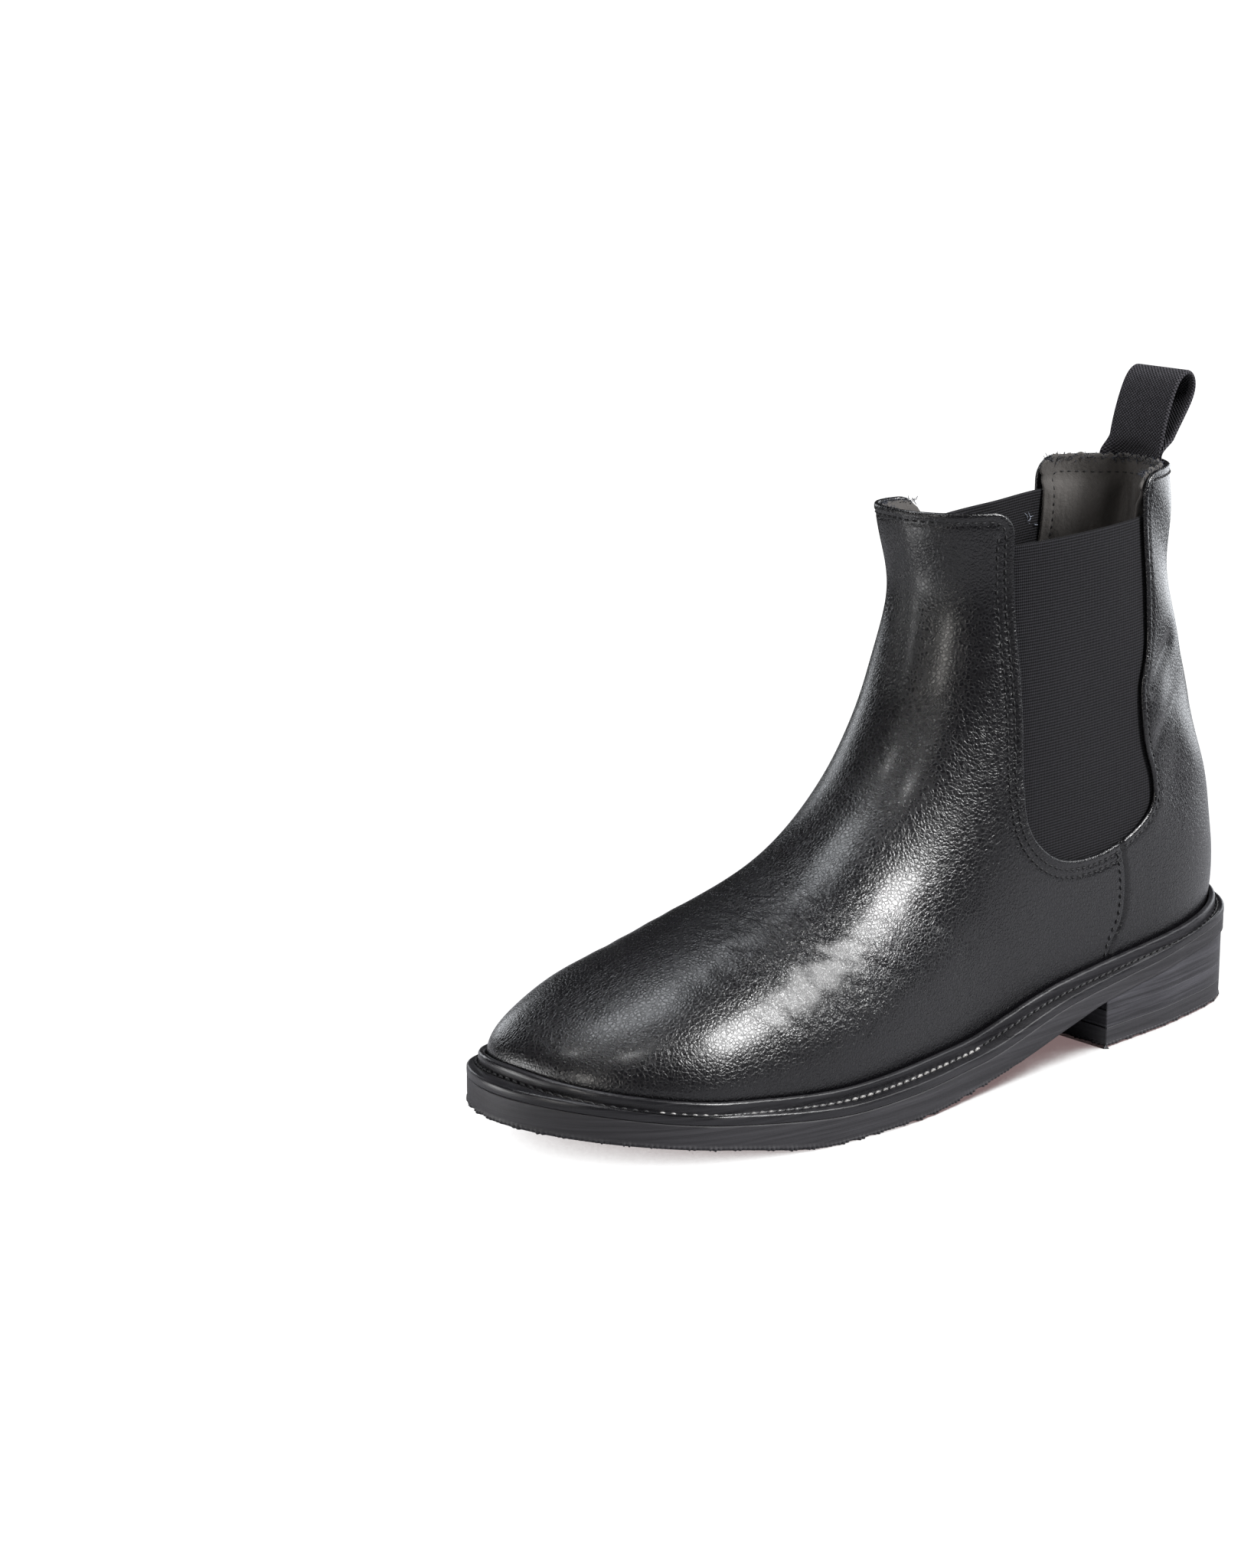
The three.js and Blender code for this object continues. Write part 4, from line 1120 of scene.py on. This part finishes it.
def storm_welt():
    base = wall_at(0.5)
    reach = np.linalg.norm(SOLE_RING - base[:, :2], axis=1)
    edge = 99  # distances near this are measured from the sole's edge, the others from the wall
    section = [
        (0.3, -3), (edge, -3), (edge + 0.05, -2.7), (edge + 0.1, -1.6), (edge + 0.05, -0.6),
        (edge - 0.25, -0.15), (edge - 0.7, 0), (4.9, 0), (4.5, -0.25), (4.2, -0.55), (3.5, -0.6),
        (3.2, -0.4), (3.05, 0.2), (2.95, 1.4), (2.8, 2.5), (2.45, 3.05), (1.9, 3.3), (1.2, 3.25),
        (0.7, 2.9), (0.4, 2.2), (0.3, 1),
    ]
    rings = []
    for distance, height in section:
        wall = wall_at(height)
        from_wall = distance if distance < edge / 2 else reach + distance - edge
        wall[:, :2] += (SOLE_RING - wall[:, :2]) * (from_wall / reach)[:, None]
        rings.append(wall)
    faces = ring_faces(len(rings), AROUND, closed=True)
    piece = make_object("storm_welt_rim", np.vstack(rings), faces, WELT)
    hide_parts("storm_welt")
    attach(piece, "root")
    channel = wall_at(-0.55)
    channel[:, :2] += (SOLE_RING - channel[:, :2]) * (3.85 / reach)[:, None]
    line = np.vstack([channel, channel[:1]])
    # Painted highlight: only the stitching on the lateral forefoot gets the thread with pale patches; the
    # rest is black.
    painted_glint_span = (line[:, 1] < 6) & (line[:, 1] > -122) & (line[:, 0] > 0)
    for name, keep, material in (
        ("welt_stitching", painted_glint_span, PAINTED_GLINT_THREAD),
        ("dull_welt_stitching", ~painted_glint_span, THREAD),
    ):
        rows = []
        for part in np.split(np.arange(len(line)), np.flatnonzero(np.diff(keep.astype(int))) + 1):
            if keep[part[0]] and len(part) > 3:
                rows.append((line[part], np.tile([0.0, 0.0, 1.0], (len(part), 1))))
        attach(stitches(name, rows, 3.2, 2.6, 0.46, 0.3, material), "root")


def edge_rings(ring, levels):
    """Rings for a loft: each level is (inset, height function of y, extra outward move per point)."""
    rings = []
    for distance, height, extra in levels:
        moved = inset(ring, distance - extra)
        rings.append(np.column_stack([moved, height(moved[:, 1])]))
    return rings


def serration(step):
    """Teeth along a ring's points, each STEPS_PER_TOOTH points wide, from 0 to 1."""
    return 0.5 + 0.5 * np.sin(2 * np.pi * step / STEPS_PER_TOOTH)


def outsole():
    count = STEPS_PER_TOOTH * SOLE_TEETH
    ring = sole_ring(count)
    step = np.arange(count)
    teeth = serration(step)
    ragged = 0.6 + 0.4 * np.sin(step * 0.27) * np.sin(step * 0.038)
    forefoot = smoothstep(ring[:, 1], 30, 0)
    fringe = teeth * ragged * forefoot
    notch = 0.95 * (1 - teeth * ragged) * forefoot
    top = lambda y: weltTop(y) - WELT_THICKNESS - GAP
    squeeze = lambda y: np.minimum(1, (top(y) - soleBottom(y)) / 9)
    rising = lambda lift: (lambda y: soleBottom(y) + lift * squeeze(y))
    jagged = lambda lift: (lambda y: soleBottom(y) + lift + notch)
    none = np.zeros(count)
    open_edge = 1 - smoothstep(ring[:, 1], 66, 74)
    hidden = 0.25 * (1 - open_edge)
    piece_rings = edge_rings(ring, [
        (1.8 * open_edge + hidden, rising(0.02), none),
        (0.35 * open_edge + 0.5 * hidden, jagged(0.0), 0.2 * fringe),
        (0.0, jagged(0.25), 0.45 * fringe),
        (0.0, rising(1.5), 0.3 * fringe),
        (0.1, rising(1.9), none),
        (0.05, rising(2.6), none),
        (0.0, rising(3.4), none),
        (0.0, lambda y: 0.5 * (top(y) + soleBottom(y)), none),
        (0.0, lambda y: top(y) - 0.5, none),
        (0.05, lambda y: top(y) + 0.05, none),
        (0.25, lambda y: top(y) + 0.2, none),
    ])
    vertices, faces = loft(piece_rings)
    piece = make_object("outsole_rubber", vertices, faces, RUBBER)
    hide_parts("outsole")
    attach(piece, "root")


def heel_ring(count):
    """The outline behind the breast, clockwise from the back, with the breast as a straight line."""
    dense = sole_ring(2400)
    behind = dense[:, 1] >= HEEL_BREAST_Y
    lateral = dense[:1200][behind[:1200]]
    medial = dense[1200:][behind[1200:]]
    corner_a = np.array([[lateral[-1, 0], HEEL_BREAST_Y]])
    corner_b = np.array([[medial[0, 0], HEEL_BREAST_Y]])
    breast = np.linspace(corner_a[0], corner_b[0], 60)
    return spaced(np.vstack([lateral, breast, medial]), count, closed=True)


def heel():
    count = STEPS_PER_TOOTH * HEEL_TEETH
    ring = inset(heel_ring(count), HEEL_INSET)
    none = np.zeros(count)
    step = np.arange(count)
    ragged = 0.6 + 0.4 * np.sin(step * 0.31) * np.sin(step * 0.047)
    teeth = serration(step) * ragged
    notched = lambda lift: (lambda y: lift + 0.7 * (1 - teeth))
    flat = lambda z: (lambda y: np.full_like(y, z))
    seat = lambda lift: (lambda y: soleBottom(np.maximum(y, HEEL_BREAST_Y - 5)) - 0.05 + lift)
    layers = (
        ("top_lift_rubber", "heel_top_lift", RUBBER, "rubber_sole", [
            (1.2, flat(0.0), none), (0.35, notched(0.0), 0.2 * teeth), (0.0, notched(0.25), 0.4 * teeth),
            (0.0, flat(1.2), 0.3 * teeth), (0.05, flat(1.5), none), (0.0, flat(TOP_LIFT_HEIGHT - 0.3), none),
            (0.15, flat(TOP_LIFT_HEIGHT), none),
        ]),
        ("lower_lift_board", "heel_lift_lower", STACK, "heel_stack", [
            (0.08, flat(TOP_LIFT_HEIGHT + 0.03), none), (0.0, flat(TOP_LIFT_HEIGHT + 0.16), none),
            (0.0, flat(LIFT_JOIN_Z - 0.2), none), (0.06, flat(LIFT_JOIN_Z - 0.06), none),
        ]),
        ("upper_lift_board", "heel_lift_upper", STACK, "heel_stack", [
            (0.06, flat(LIFT_JOIN_Z - 0.04), none), (0.0, flat(LIFT_JOIN_Z + 0.1), none),
            (0.0, seat(-0.2), none), (0.06, seat(-0.02), none),
        ]),
    )
    for name, node, material, slot, levels in layers:
        rings = edge_rings(ring, levels)
        vertices, faces = loft(rings, False, False)
        last = (len(rings) - 1) * count
        faces.append(list(range(count)))
        faces.append([last + i for i in range(count)][::-1])
        piece = make_object(name, vertices, faces, material, smooth=False)
        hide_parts(node)
        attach(piece, "root")


def sock_liner():
    ring = inset(SURFACE[0][:, :2], LINING_DEPTH + 1.9)
    rise = lambda lift: (lambda y: weltTop(y) + lift)
    none = np.zeros(AROUND)
    vertices, faces = loft(edge_rings(ring, [
        (0.2, rise(3.3), none), (0.0, rise(3.5), none), (0.0, rise(4.0), none), (0.3, rise(4.3), none),
    ]))
    piece = make_object("sock_liner_leather", vertices, faces, SUEDE)
    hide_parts("sock_liner")
    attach(piece, "root")


# ---------- CAD nodes that show as they are ----------

def dress_cad_nodes():
    steel = plain_material("plain_steel", (0.45, 0.46, 0.48), 0.35, 600, 0.15, metallic=1.0)
    looks = {
        "cork_filler": plain_material("cork", (0.3, 0.19, 0.09), 0.95, 500, 0.5),
        "insole_board": plain_material("insole_leather", (0.38, 0.26, 0.15), 0.75, 350, 0.25),
        "toe_puff": plain_material("fibre_board", (0.27, 0.23, 0.17), 0.85, 400, 0.3),
        "shank": steel,
    }
    looks["heel_counter"] = looks["toe_puff"]
    looks.update({f"heel_nail_{i}": steel for i in range(1, 6)})
    for node, material in looks.items():
        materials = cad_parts[node].data.materials
        materials.clear()
        materials.append(material)


# ---------- stage, light and camera ----------

def make_stage():
    """A white floor close round the boot. The camera sees it glowing white with a painted shadow, dark and
    reddish, where the boot occludes it closely; in the boot's gloss it is a dimmer diffuse floor."""
    turn = np.linspace(0, 2 * np.pi, 96, endpoint=False)
    mesh = bpy.data.meshes.new("floor")
    rim = [(FLOOR_RADIUS * math.cos(t), FLOOR_RADIUS * math.sin(t), 0) for t in turn]
    mesh.from_pydata(rim, [], [list(range(len(rim)))])
    floor = bpy.data.objects.new("floor", mesh)
    bpy.context.scene.collection.objects.link(floor)
    material = bpy.data.materials.new("floor_painted_shadow")
    material.use_nodes = True
    material.node_tree.nodes.clear()
    tree = material.node_tree
    # Painted shadow: the emitted colour turns dark and reddish where ambient occlusion is low, widely under
    # the arch and heel and only in the deepest spots under the toe.
    shade = add_node(tree, "ShaderNodeAmbientOcclusion", {"Distance": 0.03}, samples=SHADE_SAMPLES)
    openness = shade.outputs["AO"]
    open_share = add_node(tree, "ShaderNodeMapRange", {"Value": openness, "From Min": 0.3, "From Max": 0.47})
    toe_share = add_node(tree, "ShaderNodeMapRange", {"Value": openness, "From Max": 0.14})
    coordinates = add_node(tree, "ShaderNodeTexCoord").outputs["Object"]
    lengthwise = add_node(tree, "ShaderNodeSeparateXYZ", {0: coordinates}).outputs["Y"]
    arch = add_node(tree, "ShaderNodeMapRange", {"Value": lengthwise, "From Min": -0.05, "From Max": -0.03})
    shares = {0: arch.outputs[0], 2: toe_share.outputs[0], 3: open_share.outputs[0]}
    where = add_node(tree, "ShaderNodeMix", shares)
    painted_shadow_colour = add_node(tree, "ShaderNodeMix", data_type="RGBA")
    tree.links.new(where.outputs[0], painted_shadow_colour.inputs[0])
    painted_shadow_colour.inputs[6].default_value = (0.2, 0.14, 0.14, 1)
    painted_shadow_colour.inputs[7].default_value = (1.1, 1.1, 1.1, 1)
    glow_with_painted_shadow = add_node(tree, "ShaderNodeEmission", {"Color": painted_shadow_colour.outputs[2]})
    dim = add_node(tree, "ShaderNodeBsdfDiffuse", {"Color": (0.4, 0.4, 0.42, 1)})
    path = add_node(tree, "ShaderNodeLightPath")
    seen = path.outputs["Is Camera Ray"]
    choice = add_node(tree, "ShaderNodeMixShader", {0: seen, 1: dim.outputs[0], 2: glow_with_painted_shadow.outputs[0]})
    add_node(tree, "ShaderNodeOutputMaterial", {"Surface": choice.outputs[0]})
    floor.data.materials.append(material)


def area_light(name, azimuth, elevation, width, height, radiance, distance=1.5, colour=WHITE,
               aim=(0, 0, 0.08)):
    """A soft box round the boot: azimuth 0 is ahead of the toe and 90 is on the lateral side."""
    turn, rise = math.radians(azimuth), math.radians(elevation)
    back = np.array([math.sin(turn) * math.cos(rise), -math.cos(turn) * math.cos(rise), math.sin(rise)])
    side = np.array([math.cos(turn), math.sin(turn), 0])
    up = np.cross(back, side)
    light = bpy.data.lights.new(name, "AREA")
    light.shape = "RECTANGLE"
    light.size = width
    light.size_y = height
    light.energy = radiance * math.pi * width * height
    light.color = colour
    lamp = bpy.data.objects.new(name, light)
    bpy.context.scene.collection.objects.link(lamp)
    lamp.visible_camera = False
    rows = np.column_stack([side, up, back])
    place = np.array(aim) + distance * back
    lamp.matrix_world = Matrix([(*row, p) for row, p in zip(rows, place)] + [(0, 0, 0, 1)])


def make_lights():
    world = bpy.data.worlds.new("studio")
    bpy.context.scene.world = world
    world.use_nodes = True
    background = world.node_tree.nodes["Background"]
    background.inputs["Color"].default_value = (1, 1, 1, 1)
    path = add_node(world.node_tree, "ShaderNodeLightPath")
    seen = path.outputs["Is Camera Ray"]
    dim = add_node(world.node_tree, "ShaderNodeMapRange", {"Value": seen, "To Min": 0.03, "To Max": 1.15})
    world.node_tree.links.new(dim.outputs[0], background.inputs["Strength"])
    area_light("front_strip", -40, -2, 0.4, 0.9, 3.2)
    area_light("front_low", -20, -28, 0.14, 0.1, 6, distance=0.3, aim=(0, 0, 0.14))
    area_light("front_fill", 16, 12, 0.22, 0.5, 12, colour=WARM)
    area_light("overhead", -112, 72, 0.22, 0.24, 7, distance=0.6, aim=(0, -0.12, 0.04), colour=COOL)
    area_light("top_front", -35, 64, 0.4, 0.3, 1.2, colour=WARM)
    area_light("back_right", 119, 40, 0.44, 0.62, 42)
    area_light("toe_spot", -30, 61, 0.024, 0.024, 110, distance=0.5, aim=TOE)
    area_light("toe_spot_right", 47, 63, 0.03, 0.03, 110, distance=0.5, aim=TOE)
    area_light("left_rim", -98, 8, 0.4, 0.5, 3, colour=COOL)
    area_light("backdrop", 190, 4, 1.3, 0.75, 2.7, distance=1.9, colour=COOL)
    area_light("rear_floor_glow", 156, 30, 0.3, 0.3, 4, distance=0.9, aim=(0.1, 0.2, 0.0), colour=COOL)


def make_camera():
    """Looks down on the boot from ahead and from its lateral side."""
    azimuth = math.radians(CAMERA_AZIMUTH)
    elevation = math.radians(CAMERA_ELEVATION)
    roll = math.radians(CAMERA_ROLL)
    right = np.array([math.cos(azimuth), math.sin(azimuth), 0])
    back = np.array([math.sin(azimuth) * math.cos(elevation), -math.cos(azimuth) * math.cos(elevation),
                     math.sin(elevation)])
    up = np.cross(back, right)
    right, up = (right * math.cos(roll) + up * math.sin(roll), up * math.cos(roll) - right * math.sin(roll))
    aim = np.array([0, 0, CAMERA_AIM_Z])
    place = aim + CAMERA_DISTANCE * back - CAMERA_LEFT * right + CAMERA_UP * up - MIDDLE
    data = bpy.data.cameras.new("camera")
    data.sensor_width = SENSOR_WIDTH
    data.lens = FOCAL_LENGTH
    data.clip_end = 50
    camera = bpy.data.objects.new("camera", data)
    bpy.context.scene.collection.objects.link(camera)
    rotation = np.column_stack([right, up, back])
    camera.matrix_world = Matrix([(*row, p / 1000) for row, p in zip(rotation, place)] + [(0, 0, 0, 1)])
    bpy.context.scene.camera = camera
    bpy.context.scene.view_settings.view_transform = "Standard"


make_camera()
make_lights()
make_stage()
front_leather()
quarters()
backstay()
gores()
linings()
loose_threads()
pull_tab()
storm_welt()
outsole()
heel()
sock_liner()
dress_cad_nodes()
